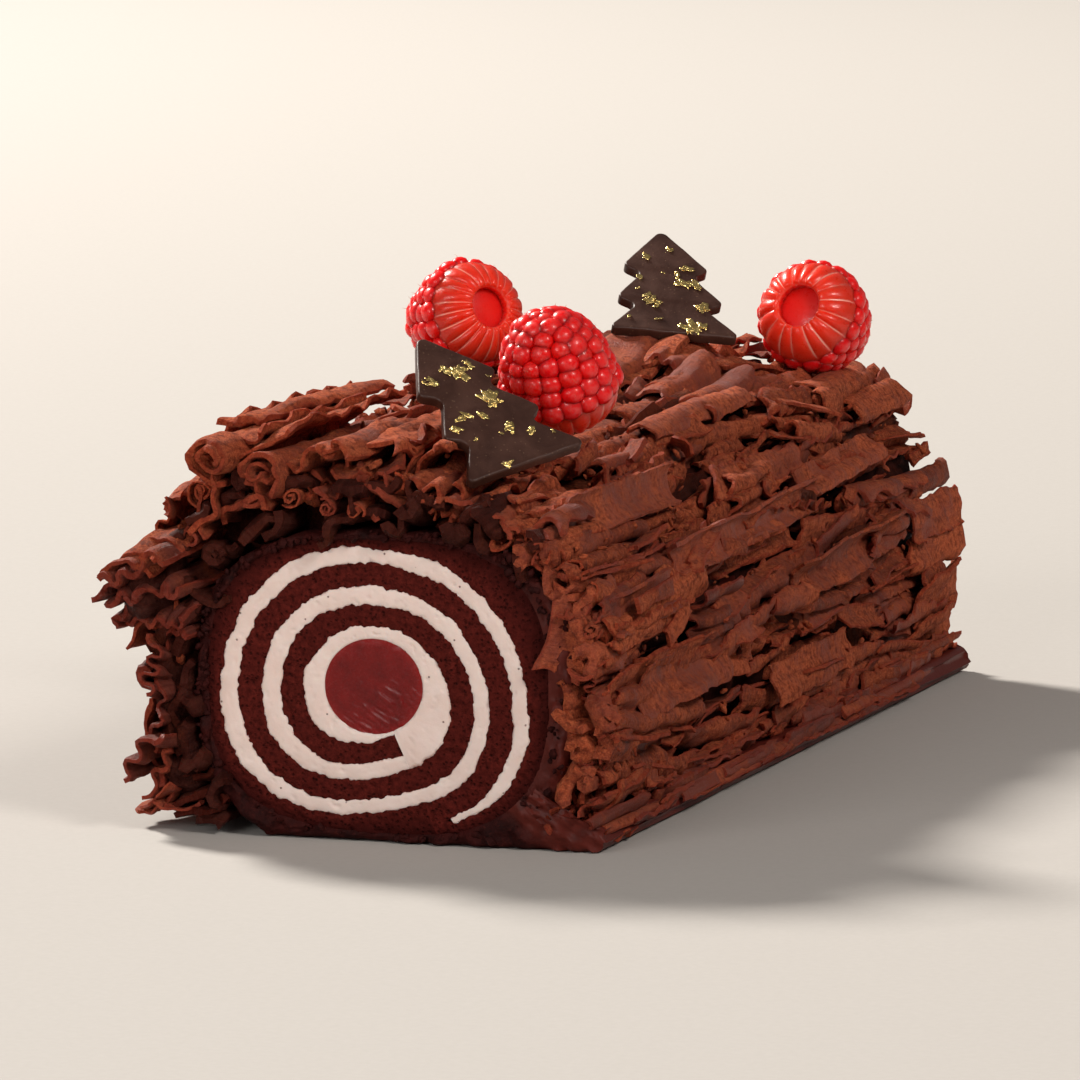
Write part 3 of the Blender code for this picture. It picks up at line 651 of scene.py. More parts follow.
def build_coat():
    """Chocolate round the roll: crumbly where it is torn at the cut ends, glossy at its foot along the right, where its
    colour is also lightened as painted sheen.
    """
    x, z = coat_outline()
    angle = np.arctan2(z - AXIS, x)
    reach = roll_reach(angle) - 0.3
    inner_x = reach * np.cos(angle)
    inner_z = AXIS + reach * np.sin(angle)
    foot = np.clip((x - 33) / 4, 0, 1) * np.clip((8.5 - z) / 3, 0, 1)
    edge = np.clip((x - 38.5) / 2.5, 0, 1) * np.clip((5.5 - z) / 1.0, 0, 1)
    columns = []
    shares = np.linspace(0, 1, 13)
    for end, seed in ((-1, 71), (1, 95)):
        face = []
        for share in shares:
            px = inner_x + (x - inner_x) * share
            pz = inner_z + (z - inner_z) * share
            rough = 0.55 * fractal(px / 2.0, pz / 2.0, 0, seed, 3) + 0.55 * np.abs(noise(px / 0.9, pz / 0.9, 0, seed + 5))
            lumps = 1.5 * np.clip(noise(px / 3.2, pz / 3.2, 0, seed + 8), 0, 1) * share
            layers = 0.9 * foot * np.abs(noise(px / 3.5, pz / 0.9, 2, seed + 11))
            stand = (rough + lumps + layers) * min(1.0, share * 4) - 0.9 * share**6
            wide = FOOT_FLARE * edge * share * (end > 0)
            face.append(np.stack([px + wide, end * (HALF + stand), pz], axis=-1))
        columns.append(face)
    wall = []
    out_x = np.cos(angle)
    out_z = np.sin(angle)
    above = np.clip(z / 1.2, 0, 1)
    for y in np.linspace(-HALF + 1.0, HALF - 1.0, 56):
        waves = 0.50 * noise(z / 1.6, y / 26, 0, 5) + 0.30 * noise(x / 1.3, y / 19, 0, 6) + 0.22 * noise(z, y / 2.6, x / 3, 7)
        shift = waves * above
        step = 0.7 * foot * np.sin(z * 2.6 + 1.2 * noise(y / 30, 1.5, 0, 8)) * above
        wide = FOOT_FLARE * edge * (y / (2 * HALF) + 0.5)
        wall.append(np.stack([x + wide + out_x * shift - step, y + 0 * x, np.maximum(z + out_z * shift * 0.6, 0.0)], axis=-1))
    loops = columns[0] + wall + columns[1][::-1]
    points = np.stack(loops)
    rows, count = points.shape[:2]
    quads = grid_quads(rows, count, 0, True, True)
    # Glossy on the foot and along the right, where the material also lightens the colour as painted sheen
    gloss_and_painted_sheen = np.broadcast_to(np.clip(foot + np.clip((x - 30) / 6, 0, 1) * 0.8, 0, 1), (rows, count))
    look = np.stack([gloss_and_painted_sheen, 0 * gloss_and_painted_sheen, 0 * gloss_and_painted_sheen], axis=-1)
    flat = points.reshape(-1, 3)
    if volume(flat, quads) < 0:
        quads = quads[:, FLIP]
    heap = Heap()
    heap.add(flat, quads, look.reshape(-1, 3))
    # Crumbs and broken lumps on both torn ends
    rng = np.random.default_rng(7)
    sphere, faces = ball(1)
    for number in range(440):
        swing = rng.uniform(-0.12, 1.12) * math.pi
        if number % 5 == 0:
            swing = rng.uniform(-1.0, 0.0) * math.pi
        share = rng.uniform(0.1, 1.15)
        inner = float(roll_reach(np.array(swing))) - 0.3
        outer = float(ellipse_reach(np.array(swing), 35.6, 28.2, 2.8)) + 2.0 * math.cos(swing)
        reach = inner + (outer - inner) * share
        size = rng.uniform(0.35, 1.25) * rng.uniform(0.6, 1.0)
        end = -1 if number % 2 else 1
        place = np.array([reach * math.cos(swing), end * (HALF + rng.uniform(0.0, 0.9)), max(AXIS + reach * math.sin(swing), size)])
        key = int(rng.integers(1 << 16))
        swell = 1 + 0.45 * noise(sphere[:, 0] * 1.7, sphere[:, 1] * 1.7, sphere[:, 2] * 1.7, key)
        turned = np.array(Euler(rng.uniform(0, TAU, 3)).to_matrix())
        shape = (sphere * swell[:, None] * size * rng.uniform(0.5, 1.2, 3)) @ turned.T + place
        shape[:, 2] = np.maximum(shape[:, 2], 0.02)
        heap.add(shape, faces)
    heap.piece("coat", coat_material(), "coat", ["chocolate_coat"], 60)


BARK_CENTRE = 30.0
BARK_HEAPS = ((-20, 5, 1.8, 12, 14), (8, -99, 6.2, 10, 9), (21, -124, -2.8, 15, 11), (6, 57, 4.0, 14, 14))


def base_reach(angle):
    half_width = np.where(np.cos(angle) > 0, 44.5, 42.5)
    return ellipse_reach(angle, half_width, 37.8, 2.4)


def bark_reach(angle, y):
    """Distance from the bark's axis to its mean outside."""
    reach = base_reach(angle)
    skirt = 2.2 + 4.0 * (y / (2 * HALF) + 0.5)
    reach = reach + skirt * np.exp(-(((angle + math.radians(26)) / math.radians(16)) ** 2))
    hump = 7.0 * (0.85 - 0.3 * y / 240) * np.exp(-(((angle - math.radians(130)) / math.radians(26)) ** 2))
    x = reach * np.cos(angle)
    for across, along, rise, half_across, half_along in BARK_HEAPS:
        hump = hump + rise * np.exp(-(((x - across) / half_across) ** 2) - ((y - along) / half_along) ** 2) * (np.sin(angle) > 0)
    return reach + hump


def bark_table():
    """Angles, lengths round the bark from its top (rightwards), and smoothed outward directions."""
    angle = np.linspace(math.radians(217.5), math.radians(-29.5), 500)
    reach = base_reach(angle)
    x = reach * np.cos(angle)
    z = reach * np.sin(angle)
    length = np.concatenate([[0], np.cumsum(np.hypot(np.diff(x), np.diff(z)))])
    length -= np.interp(-math.pi / 2, -angle, length)
    out_x = -np.gradient(z, length)
    out_z = np.gradient(x, length)
    window = np.hanning(61) / np.hanning(61).sum()
    out_x = np.convolve(np.pad(out_x, 30, mode="edge"), window, "valid")
    out_z = np.convolve(np.pad(out_z, 30, mode="edge"), window, "valid")
    size = np.hypot(out_x, out_z)
    return angle, length, out_x / size, out_z / size


TABLE_ANGLE, TABLE_LENGTH, TABLE_X, TABLE_Z = bark_table()
ROUND_LEFT = TABLE_LENGTH[0]
ROUND_RIGHT = TABLE_LENGTH[-1]


def log_point(a, y, n):
    """The place a round the bark from its top, y along it, and n out of its mean surface."""
    held = np.clip(a, ROUND_LEFT, ROUND_RIGHT)
    angle = np.interp(held, TABLE_LENGTH, TABLE_ANGLE)
    out_x = np.interp(held, TABLE_LENGTH, TABLE_X)
    out_z = np.interp(held, TABLE_LENGTH, TABLE_Z)
    reach = bark_reach(angle, y)
    extra = a - held
    x = reach * np.cos(angle) + n * out_x + extra * out_z
    z = BARK_CENTRE + reach * np.sin(angle) + n * out_z - extra * out_x
    lowest = np.where(x > 0, 4.4, 0.5)
    return np.stack([x, y + 0 * x, np.maximum(z, lowest)], axis=-1)


def build_core():
    """The dark mass under the shavings: rough, and smaller than the bark it stands for."""
    a = np.linspace(ROUND_LEFT + 1, ROUND_RIGHT - 1, 84)[None, :]
    y = np.linspace(-HALF + 9, HALF - 6, 76)[:, None]
    short = 6.0 * np.clip(1 - np.abs(a + 4) / 46, 0, 1) ** 1.3
    share = (y + HALF) / (2 * HALF)
    y = y - short * np.clip((share - 0.6) / 0.4, 0, 1)
    depth = -6.0 + 1.3 * fractal(a / 4.5, y / 26, 0, 41, 3) + 0.8 * noise(a / 1.6, y / 5, 0, 45)
    outer = log_point(a, y, depth)
    angle = np.arctan2(outer[..., 2] - AXIS, outer[..., 0])
    reach = ellipse_reach(angle, 34.9, 28.0, 2.8) - 0.5
    inner = np.stack([2.0 + reach * np.cos(angle), outer[..., 1], AXIS + reach * np.sin(angle)], axis=-1)
    inner[..., 2] = np.maximum(inner[..., 2], 0.4)
    heap = Heap()
    heap.slab(outer, inner)
    heap.piece("bark_core", core_material(), "bark", ["bark"], 60)


# ---------------------------------------------------------------- shavings
def section(kind, rng, s, t, width, shape):
    """The turning angle of a shaving's cross-section at width s and length t: it is what rolls and pleats it."""
    phase = shape.get("phase", rng.uniform(0, TAU))
    drift = rng.normal(0, 0.010)
    lean = shape.get("lean", rng.normal(0, 0.50))
    side = shape.get("side", rng.choice((-1.0, 1.0)))
    seed = int(rng.integers(1 << 20))
    if kind == "sheet":
        form = rng.uniform()
        if form < 0.34:
            bow = rng.uniform(0.16, 0.36)
        elif form < 0.70:
            bow = -rng.uniform(0.16, 0.36)
        else:
            bow = rng.uniform(-0.04, 0.04)
            lean *= 1.4
        bow = shape.get("bow", bow)
        turn = lean + bow * (s - width / 2)
        turn = turn + rng.uniform(0.05, 0.45) * np.sin(TAU * s / rng.uniform(4, 9) + phase + drift * t)
        lip = rng.uniform(0.2, 0.9) * (rng.uniform() < 0.75)
        turn = turn + side * lip * np.maximum(0, s - width + rng.uniform(1.4, 3.6))
        turn = turn - side * rng.uniform(0.0, 0.55) * np.maximum(0, rng.uniform(1.0, 3.0) - s)
        # A ruffled lip
        ruffle = shape.get("ruffle", rng.uniform(0.1, 0.9))
        waves = np.sin(TAU * t / rng.uniform(6, 14) + phase + 2.2 * noise(t / 19, 0.5, 0, seed + 2))
        turn = turn + ruffle * np.clip((s - width + 5.0) / 5.0, 0, 1) * waves
        return turn + 0.34 * noise(s / 4.5, t / 22, 0, seed) + 0.26 * noise(s / 2.4, t / 9, 0, seed + 1)
    if kind == "pleat":
        fold = shape.get("fold", rng.uniform(4.0, 8.5))
        along = s + 2.6 * noise(s / 5.5, t / 45, 0, seed)
        size = shape.get("depth", rng.uniform(1.15, 1.6)) * (1 + 0.38 * noise(s / 8, t / 60, 2, seed + 3))
        turn = lean * 0.7 + size * np.sin(TAU * along / fold + phase + drift * t)
        return turn + 0.34 * noise(s / 2.8, t / 13, 0, seed + 1)
    if kind == "scroll":
        first, last = shape.get("radii", (rng.uniform(3.0, 4.2), rng.uniform(1.2, 2.0)))
        radius = first + (last - first) * s / width
        return phase + side * s / radius + 0.16 * noise(s / 5, t / 22, 0, seed) + 0.20 * noise(s / 3, t / 8, 0, seed + 1)
    turn = lean + side * rng.uniform(0.0, 0.45) * s
    return turn + 0.34 * noise(s / 2.5, t / 9, 0, seed)


SPACING = {"sheet": 1.0, "pleat": 0.80, "scroll": 0.85, "sliver": 0.95}


def shaving(heap, rng, lay, kind, length, width, coarse=1.0, torn=1.0, **shape):
    """Adds one closed shaving. lay turns (across, outwards, along) into places."""
    columns = max(5, int(width / SPACING[kind] / coarse) + 1)
    rows = max(5, int(length / (1.9 if length > 16 else 1.3) / coarse) + 1)
    seed = int(rng.integers(1 << 20))
    u = np.linspace(0, 1, columns)[None, :]
    v = np.linspace(0, 1, rows)[:, None]
    # The rows are closer together near the torn ends
    v = v - 0.055 * np.sin(2 * TAU / 2 * v)
    reach = min(length * 0.16, 6.0) * torn
    slants = rng.normal(0, 0.30, 2) * torn
    ends = []
    for number in (0, 1):
        rag = 0.5 + 0.5 * noise(u * width / 4.0, number * 9.5, 0, seed)
        nick = 1.3 * noise(u * width / 1.2, number * 9.5, 4.0, seed)
        ends.append(reach * rag + torn * nick + slants[number] * (u - 0.5) * min(width, 12))
    t = -length / 2 + ends[0] + v * (length - ends[0] - ends[1])
    sides = []
    for number in (0, 1):
        rag = 1.0 * noise(t / 11, number * 7.5, 1.0, seed) + 0.75 * noise(t / 3.0, number * 7.5, 2.0, seed)
        notch = 2.0 * np.clip(noise(t / 4.0, number * 7.5, 3.0, seed) - 0.30, 0, 1)
        sides.append(torn * min(1.0, width / 9) * (rag + notch))
    s = sides[0] + u * (width - sides[0] - sides[1])
    turn = section(kind, rng, s, t, width, shape)
    step = np.diff(s, axis=1)
    middle = (turn[:, 1:] + turn[:, :-1]) / 2
    nothing = np.zeros((rows, 1))
    across = np.concatenate([nothing, np.cumsum(np.cos(middle) * step, axis=1)], axis=1)
    outwards = np.concatenate([nothing, np.cumsum(np.sin(middle) * step, axis=1)], axis=1)
    across += s[:, :1] * np.cos(turn[:, :1])
    outwards += s[:, :1] * np.sin(turn[:, :1])
    across -= 0.8 * across.mean(axis=1, keepdims=True) + 0.2 * across.mean()
    outwards -= 0.5 * outwards.mean(axis=1, keepdims=True) + 0.5 * outwards.mean()
    narrow = shape.get("narrow", 0.0)
    if narrow:
        across = across * (1 - narrow * (1 - v))
        outwards = outwards * (1 - narrow * (1 - v))
    lift = rng.normal(0, 0.8, 2)
    outwards = outwards + lift[0] * (1 - v) ** 4 + lift[1] * v**4
    outwards = outwards + 0.30 * noise(s / 1.9, t / 3.4, 0, seed + 5)
    points = lay(across, outwards, t + 0 * across)
    normal = np.cross(np.gradient(points, axis=1), np.gradient(points, axis=0))
    normal /= np.linalg.norm(normal, axis=-1, keepdims=True) + 1e-9
    full = shape.get("thick", rng.uniform(0.70, 1.50))
    rim_u = np.clip(np.minimum(u, 1 - u) * width / 1.3, 0, 1)
    rim_v = np.clip(np.minimum(v, 1 - v) * length / 1.6, 0, 1)
    half = 0.5 * full * (0.55 + 0.45 * rim_u * rim_v) * (1 + 0.45 * noise(s / 2.2, t / 4.2, 0, seed + 6))
    half = np.maximum(half, 0.09)[..., None]
    points[..., 2] = np.maximum(points[..., 2], 0.15 + half[..., 0])
    tone = shape.get("tone", rng.uniform(0.1, 1.0))
    dust = shape.get("dust", rng.uniform(0.1, 1.0))
    # edge marks the borders of the shaving for the painted glow of light through thin edges; rim scales it
    edge = np.maximum(np.exp(-np.minimum(u, 1 - u) * width / 0.6), np.exp(-np.minimum(v, 1 - v) * length / 0.8))
    edge = edge * shape.get("rim", 1.0)
    look = np.stack([np.clip(tone + 0.2 * noise(s / 5, t / 12, 0, seed + 8), 0, 1), dust + 0 * s, edge + 0 * s], axis=-1)
    grain = np.stack([s, t, 0 * s + seed % 997], axis=-1)
    heap.slab(points + normal * half, points - normal * half, look, grain)


def on_log(a, y, lift, swing=0.0, pitch=0.0):
    """Lays a shaving along the log, turned by swing (radians) and tipped by pitch (rise for each unit of length)."""
    c = math.cos(swing)
    s = math.sin(swing)

    def lay(across, outwards, along):
        return log_point(a + across * c - along * s, y + along * c + across * s, lift + outwards + pitch * along)

    return lay


def in_space(origin, along, outwards):
    """Lays a shaving on a line in space: along is its length, outwards the way its face looks."""
    t_axis = np.array(along, float)
    t_axis /= np.linalg.norm(t_axis)
    b_axis = np.cross(t_axis, np.array(outwards, float))
    b_axis /= np.linalg.norm(b_axis)
    n_axis = np.cross(b_axis, t_axis)
    place = np.array(origin, float)

    def lay(across, outward, length):
        points = place + across[..., None] * b_axis + outward[..., None] * n_axis + length[..., None] * t_axis
        points[..., 2] = np.maximum(points[..., 2], 0.4)
        return points

    return lay


def room(a):
    """How far the bark reaches along the log at a: it is short at the top of the far end."""
    return -HALF + 1.0, HALF - 1.0 - 10.0 * max(0.0, 1 - abs(a) / 46) ** 1.2


WIDTHS = {"sheet": (4.0, 8.5), "pleat": (11, 21), "scroll": (15, 24), "sliver": (2.2, 4.5)}
# Each layer of shavings: the share of each kind, spacing round and along the log, lift, swing and coarseness
LAYERS = (
    ({"sheet": 0.8, "pleat": 0.2}, 9.0, 62, (-6.6, -5.0), 0.04, 2.1),
    ({"sheet": 0.80, "pleat": 0.14, "scroll": 0.06}, 6.6, 66, (-4.4, -2.4), 0.04, 1.0),
    ({"sheet": 0.76, "pleat": 0.14, "scroll": 0.10}, 7.6, 62, (-2.2, 0.0), 0.05, 1.0),
    ({"sliver": 0.80, "sheet": 0.20}, 7.2, 27, (-2.0, 1.0), 0.13, 1.0),
)
LENGTHS = (
    {"sheet": (50, 110), "pleat": (40, 80)},
    {"sheet": (45, 110), "pleat": (35, 75), "scroll": (35, 70)},
    {"sheet": (35, 95), "pleat": (28, 64), "scroll": (26, 56)},
    {"sheet": (14, 30), "sliver": (9, 36)},
)


def scatter(heap, rng, number):
    """One layer of shavings, spread evenly with some disorder, heaped into ridges with hollows between."""
    kind_odds, a_step, y_step, lifts, swing, coarse = LAYERS[number]
    kinds = list(kind_odds)
    odds = np.array([kind_odds[kind] for kind in kinds])
    a = ROUND_LEFT + 2.5
    while a < ROUND_RIGHT + 1.0:
        y = -HALF + rng.uniform(-0.2, 0.7) * y_step
        while y < HALF:
            kind = str(rng.choice(kinds, p=odds / odds.sum()))
            length = rng.uniform(*LENGTHS[number][kind])
            width = rng.uniform(*WIDTHS[kind])
            place = min(a + rng.normal(0, a_step * 0.25), ROUND_RIGHT - 1.0)
            near, far = room(place)
            middle = min(max(y, near + length / 2 - rng.uniform(0, 3.5)), far - length / 2 + rng.uniform(0, 3))
            y += y_step * rng.uniform(0.8, 1.2)
            ridge = float(noise(place / 11, middle / 55, 0, 17))
            if number == 2 and ridge < -0.22:
                continue
            lift = rng.uniform(*lifts) + 2.1 * ridge - (1.5 if kind == "scroll" else 0.0)
            lay = on_log(place, middle, lift, rng.normal(0, swing), rng.normal(0, 0.012))
            # The coarse deepest layer goes to its own darker piece: painted shade beneath the shavings above it
            target = heap["deep"] if coarse > 1 else heap["strip" if kind == "sheet" and length > 30 else kind]
            shaving(target, rng, lay, kind, length, width, coarse)
        a += a_step


def flakes(heap, rng, count, sizes, lifts):
    """Small broken bits lodged among the shavings."""
    points, faces = ball(1)
    for _ in range(count):
        a = rng.uniform(ROUND_LEFT + 2, ROUND_RIGHT - 1)
        near, far = room(a)
        y = rng.uniform(near, far - 6)
        size = rng.uniform(*sizes) * rng.uniform(0.6, 1.0)
        key = int(rng.integers(1 << 16))
        swell = 1 + 0.45 * noise(points[:, 0] * 1.7, points[:, 1] * 1.7, points[:, 2] * 1.7, key)
        shape = points * swell[:, None] * size * np.array([rng.uniform(0.5, 1.0), rng.uniform(0.7, 1.7), rng.uniform(0.25, 0.6)])
        turn = np.array(Euler(rng.uniform(0, TAU, 3)).to_matrix())
        place = log_point(np.array(a), np.array(y), np.array(rng.uniform(*lifts)))
        heap.add(shape @ turn.T + place, faces, (rng.uniform(0.2, 1.0), rng.uniform(0.4, 1), 0.2))


def front_piece(heap, rng, kind, x, z, front, length, width, slope=(0.0, 0.0), **shape):
    """A shaving that starts at the cut face: x and z are the middle of its end, slope how it climbs across and upwards."""
    origin = (x + slope[0] * length / 2, front + length / 2, z + slope[1] * length / 2)
    lay = in_space(origin, (slope[0], 1.0, slope[1]), (x, 0.0, z - 30.0))
    shaving(heap[kind], rng, lay, kind, length, width, torn=shape.pop("torn", 0.45), **shape)


def build_front(heap, rng):
    """The shavings whose rolled and pleated ends stand round the cut face, the largest at its upper left."""
    put = lambda *places, **shape: front_piece(heap, rng, *places, **shape)
    # Curls packed between the coat and the outer shavings: darkened as painted shade on the left and top, lighter and
    # dustier on the right
    swing = math.radians(-22)
    while swing < math.radians(212):
        coat = float(ellipse_reach(np.array(swing), 35.6, 28.2, 2.8)) + 2.0 * math.cos(swing) - 0.6
        bark = float(bark_reach(np.array(swing), np.array(-HALF))) + 1.8 * math.sin(swing)
        for share in (0.24, 0.66):
            reach = coat + (bark - coat) * share + rng.normal(0, 0.5)
            kind = str(rng.choice(["pleat", "scroll", "sheet"], p=[0.12, 0.08, 0.80]))
            length = rng.uniform(13, 18)
            width = {"pleat": rng.uniform(10, 16), "scroll": rng.uniform(9, 13), "sheet": rng.uniform(5, 9)}[kind]
            turned = swing + rng.normal(0, 0.05)
            middle = (reach * math.cos(turned), -HALF + length / 2 - rng.uniform(1.0, 3.5), AXIS + reach * math.sin(turned))
            facing = turned + rng.uniform(-0.6, 0.6)
            lay = in_space(middle, (rng.normal(0, 0.08), 1.0, rng.normal(0, 0.08)), (math.cos(facing), 0.0, math.sin(facing)))
            small = {"scroll": {"radii": (rng.uniform(1.8, 2.6), rng.uniform(0.9, 1.4))}, "pleat": {"fold": rng.uniform(6.0, 11.0), "depth": rng.uniform(0.7, 1.2)}}.get(kind, {})
            dark = {"tone": rng.uniform(0, 0.5), "dust": rng.uniform(0, 0.35), "torn": 0.45, "thick": rng.uniform(1.8, 3.6), "rim": 0.6}
            if swing < 0.75:
                dark.update(tone=rng.uniform(0.4, 1.0), dust=rng.uniform(0.3, 0.9))
            shaving(heap["inner" if swing > 0.75 else "pleat"], rng, lay, kind, length, width, 1.3, **dark, **small)
        swing += 5.4 / (coat + 4)
    # Two scrolls side by side under the crown, and the sheet that joins them
    put("scroll", -30.0, 68.2, -127.0, 52, 38, (0.10, 0.03), radii=(5.2, 2.6), side=-1.0, phase=2.6, tone=0.5, dust=0.8, thick=1.5, torn=0.8)
    put("scroll", -20.6, 65.9, -124.5, 44, 30, (0.10, 0.02), radii=(4.4, 2.2), side=1.0, phase=0.4, tone=0.3, dust=0.5, thick=1.3, torn=0.8)
    put("sheet", -24.0, 70.2, -121.0, 55, 13, (0.12, 0.05), bow=-0.10, lean=0.05, tone=0.5, dust=0.9, torn=0.9)
    put("sheet", -27.0, 71.5, -117.0, 48, 11, (0.10, 0.06), bow=-0.16, lean=-0.25, tone=0.7, dust=0.9, torn=1.0)
    put("sheet", -31.5, 60.8, -123.5, 42, 14, (0.06, 0.03), bow=0.13, lean=0.5, tone=0.4, dust=0.5, thick=1.5)
    put("sheet", -25.0, 60.0, -122.5, 40, 14, (0.05, 0.03), bow=-0.12, lean=-0.2, tone=0.3, dust=0.6, thick=1.7)
    put("sheet", -17.5, 61.8, -122.5, 42, 13, (0.06, 0.02), bow=-0.14, lean=-0.4, tone=0.3, dust=0.4, thick=1.6)
    put("sheet", 0.5, 61.6, -121.5, 36, 13, (0.05, 0.02), bow=-0.12, lean=-0.3, tone=0.5, dust=0.4, thick=1.6)
    put("scroll", -34.0, 62.0, -121.0, 40, 18, (0.06, 0.05), radii=(2.9, 1.5), side=-1.0, phase=2.0, tone=0.6, dust=0.7, thick=0.8)
    # A long rough slab lying on top, and a broken one beside it
    slab = in_space((-24.6, -84.0, 74.9), (0.21, 1.0, 0.078), (-0.25, 0.0, 1.0))
    shaving(heap["sheet"], rng, slab, "sheet", 56, 8.0, bow=0.03, lean=-0.1, tone=0.8, dust=0.6, thick=2.0, ruffle=0.15)
    slab = in_space((-29.5, -80.0, 72.6), (0.24, 1.0, 0.06), (-0.5, 0.0, 1.0))
    shaving(heap["sheet"], rng, slab, "sheet", 44, 9.0, bow=-0.12, lean=0.3, tone=0.5, dust=0.9, thick=1.1)
    # Folds along the upper edge, going right
    for x, z, front, length, width, slope, fold, tone, dust in (
        (-16.0, 67.0, -123.0, 44, 26, (0.12, 0.04), 8.0, 0.6, 0.8),
        (-9.0, 69.2, -121.5, 46, 20, (0.12, 0.05), 9.0, 0.5, 0.9),
        (-5.0, 64.2, -122.5, 40, 22, (0.06, 0.05), 6.8, 0.3, 0.5),
        (4.5, 64.8, -121.5, 36, 24, (0.06, 0.04), 7.0, 0.4, 0.5),
        (12.5, 62.5, -121.5, 34, 22, (0.04, 0.03), 5.6, 0.6, 0.5),
        (20.5, 60.2, -122.0, 36, 20, (0.03, 0.03), 4.0, 0.9, 0.3),
        (26.5, 56.8, -122.5, 40, 18, (0.03, 0.02), 3.6, 0.9, 0.35),
        (31.0, 51.5, -122.0, 40, 16, (0.03, 0.02), 3.4, 1.0, 0.3),
    ):
        put("pleat", x, z, front, length, width, slope, fold=fold, tone=tone, dust=dust, torn=0.8, thick=1.3)
    put("scroll", -15.5, 62.6, -123.0, 26, 13, (0.05, 0.02), radii=(2.3, 1.2), side=1.0, tone=0.6, dust=0.6, thick=0.7)
    put("scroll", -8.4, 61.2, -122.5, 24, 12, (0.05, 0.02), radii=(2.0, 1.0), side=-1.0, tone=0.4, dust=0.3, thick=0.7)
    put("scroll", -3.0, 61.6, -123.5, 22, 11, (0.04, 0.02), radii=(1.9, 1.0), side=1.0, tone=0.8, dust=0.7, thick=0.7)
    put("sheet", -2.0, 70.9, -119.0, 50, 11, (0.10, 0.05), bow=-0.14, tone=0.7, dust=0.9, torn=1.0)
    put("sheet", 8.5, 69.5, -118.0, 44, 10, (0.07, 0.03), bow=-0.12, tone=0.6, dust=0.8, torn=1.0)
    # Fibrous strips at the upper right, and the flake that hangs over the coat there
    for x, z, width, lean in ((24.0, 59.0, 8, 0.3), (29.5, 55.5, 9, -0.4), (34.0, 51.0, 8, 0.2), (36.5, 45.5, 9, -0.5), (38.6, 40.5, 8, 0.4)):
        put("sheet", x, z, -122.5 - rng.uniform(0, 1.5), rng.uniform(34, 50), width, (0.03, 0.02), lean=lean, tone=1.0, dust=rng.uniform(0.1, 0.5), torn=0.9, ruffle=0.7)
    flake = in_space((36.2, -120.6, 38.5), (-0.18, -0.10, -1.0), (0.25, -1.0, 0.1))
    shaving(heap["sheet"], rng, flake, "sheet", 17, 9, bow=0.05, lean=0.1, tone=1.0, dust=0.3, torn=0.8, thick=1.0)
    # The bundle that points out to the left: a dusty cover over pleats whose ends face forwards
    for x, z, front, width, facing, fold, dust, kind in (
        (-42.5, 52.2, -123.0, 18, (-0.42, 0.0, 1.0), 9.0, 1.2, "sheet"),
        (-45.5, 50.0, -125.0, 17, (-0.36, 0.0, 1.0), 9.0, 1.2, "sheet"),
        (-47.0, 47.6, -126.5, 16, (-0.30, 0.0, 1.0), 9.0, 1.0, "sheet"),
        (-47.5, 44.6, -125.5, 17, (-0.75, 0.0, 1.0), 6.5, 0.2, "pleat"),
        (-47.5, 40.8, -124.5, 17, (-1.0, 0.0, 0.4), 6.5, 0.1, "pleat"),
        (-44.5, 47.8, -127.5, 24, (-0.30, 0.0, 1.0), 8.5, 0.6, "pleat"),
        (-43.0, 44.2, -126.5, 27, (-0.15, 0.0, 1.0), 6.8, 0.2, "pleat"),
        (-42.0, 40.4, -125.0, 26, (0.0, 0.0, 1.0), 6.2, 0.1, "pleat"),
        (-41.0, 36.8, -123.0, 21, (0.2, 0.0, 1.0), 5.8, 0.0, "pleat"),
    ):
        middle = (x + 0.26 * 15, front + 15, z + 0.14 * 15)
        lay = in_space(middle, (0.26, 1.0, 0.14), facing)
        shape = {"fold": fold, "bow": -0.10, "lean": 0.0, "tone": 0.1, "dust": dust - 0.3, "torn": 0.5, "thick": 1.6, "narrow": 0.12}
        shaving(heap[kind], rng, lay, kind, 30, width, **shape)
    # What the bundle and the pleats below it are packed round: dark lumps, their darkness painted shade
    sphere, faces = ball(3)
    for number, (middle, size) in enumerate((((-43.0, -113.0, 43.6), (7.0, 12.0, 7.5)), ((-39.5, -110.0, 27.0), (5.0, 11.0, 13.0)), ((-38.0, -110.0, 10.0), (5.0, 11.0, 6.0)))):
        lump = sphere * (1 + 0.13 * fractal(sphere[:, 0] * 2.2, sphere[:, 1] * 2.2, sphere[:, 2] * 4.0, 60 + number, 3))[:, None]
        heap["inner"].add(lump * np.array(size) + np.array(middle), faces, (0.15, 0.1, 0.0))
    put("scroll", -34.6, 54.8, -122.0, 34, 12, (0.02, 0.03), radii=(2.6, 1.6), side=1.0, phase=1.0, tone=1.0, dust=0.0, thick=0.7)
    put("sheet", -33.0, 59.5, -121.0, 40, 11, (0.02, 0.04), bow=-0.05, lean=0.9, tone=0.5, dust=0.3)
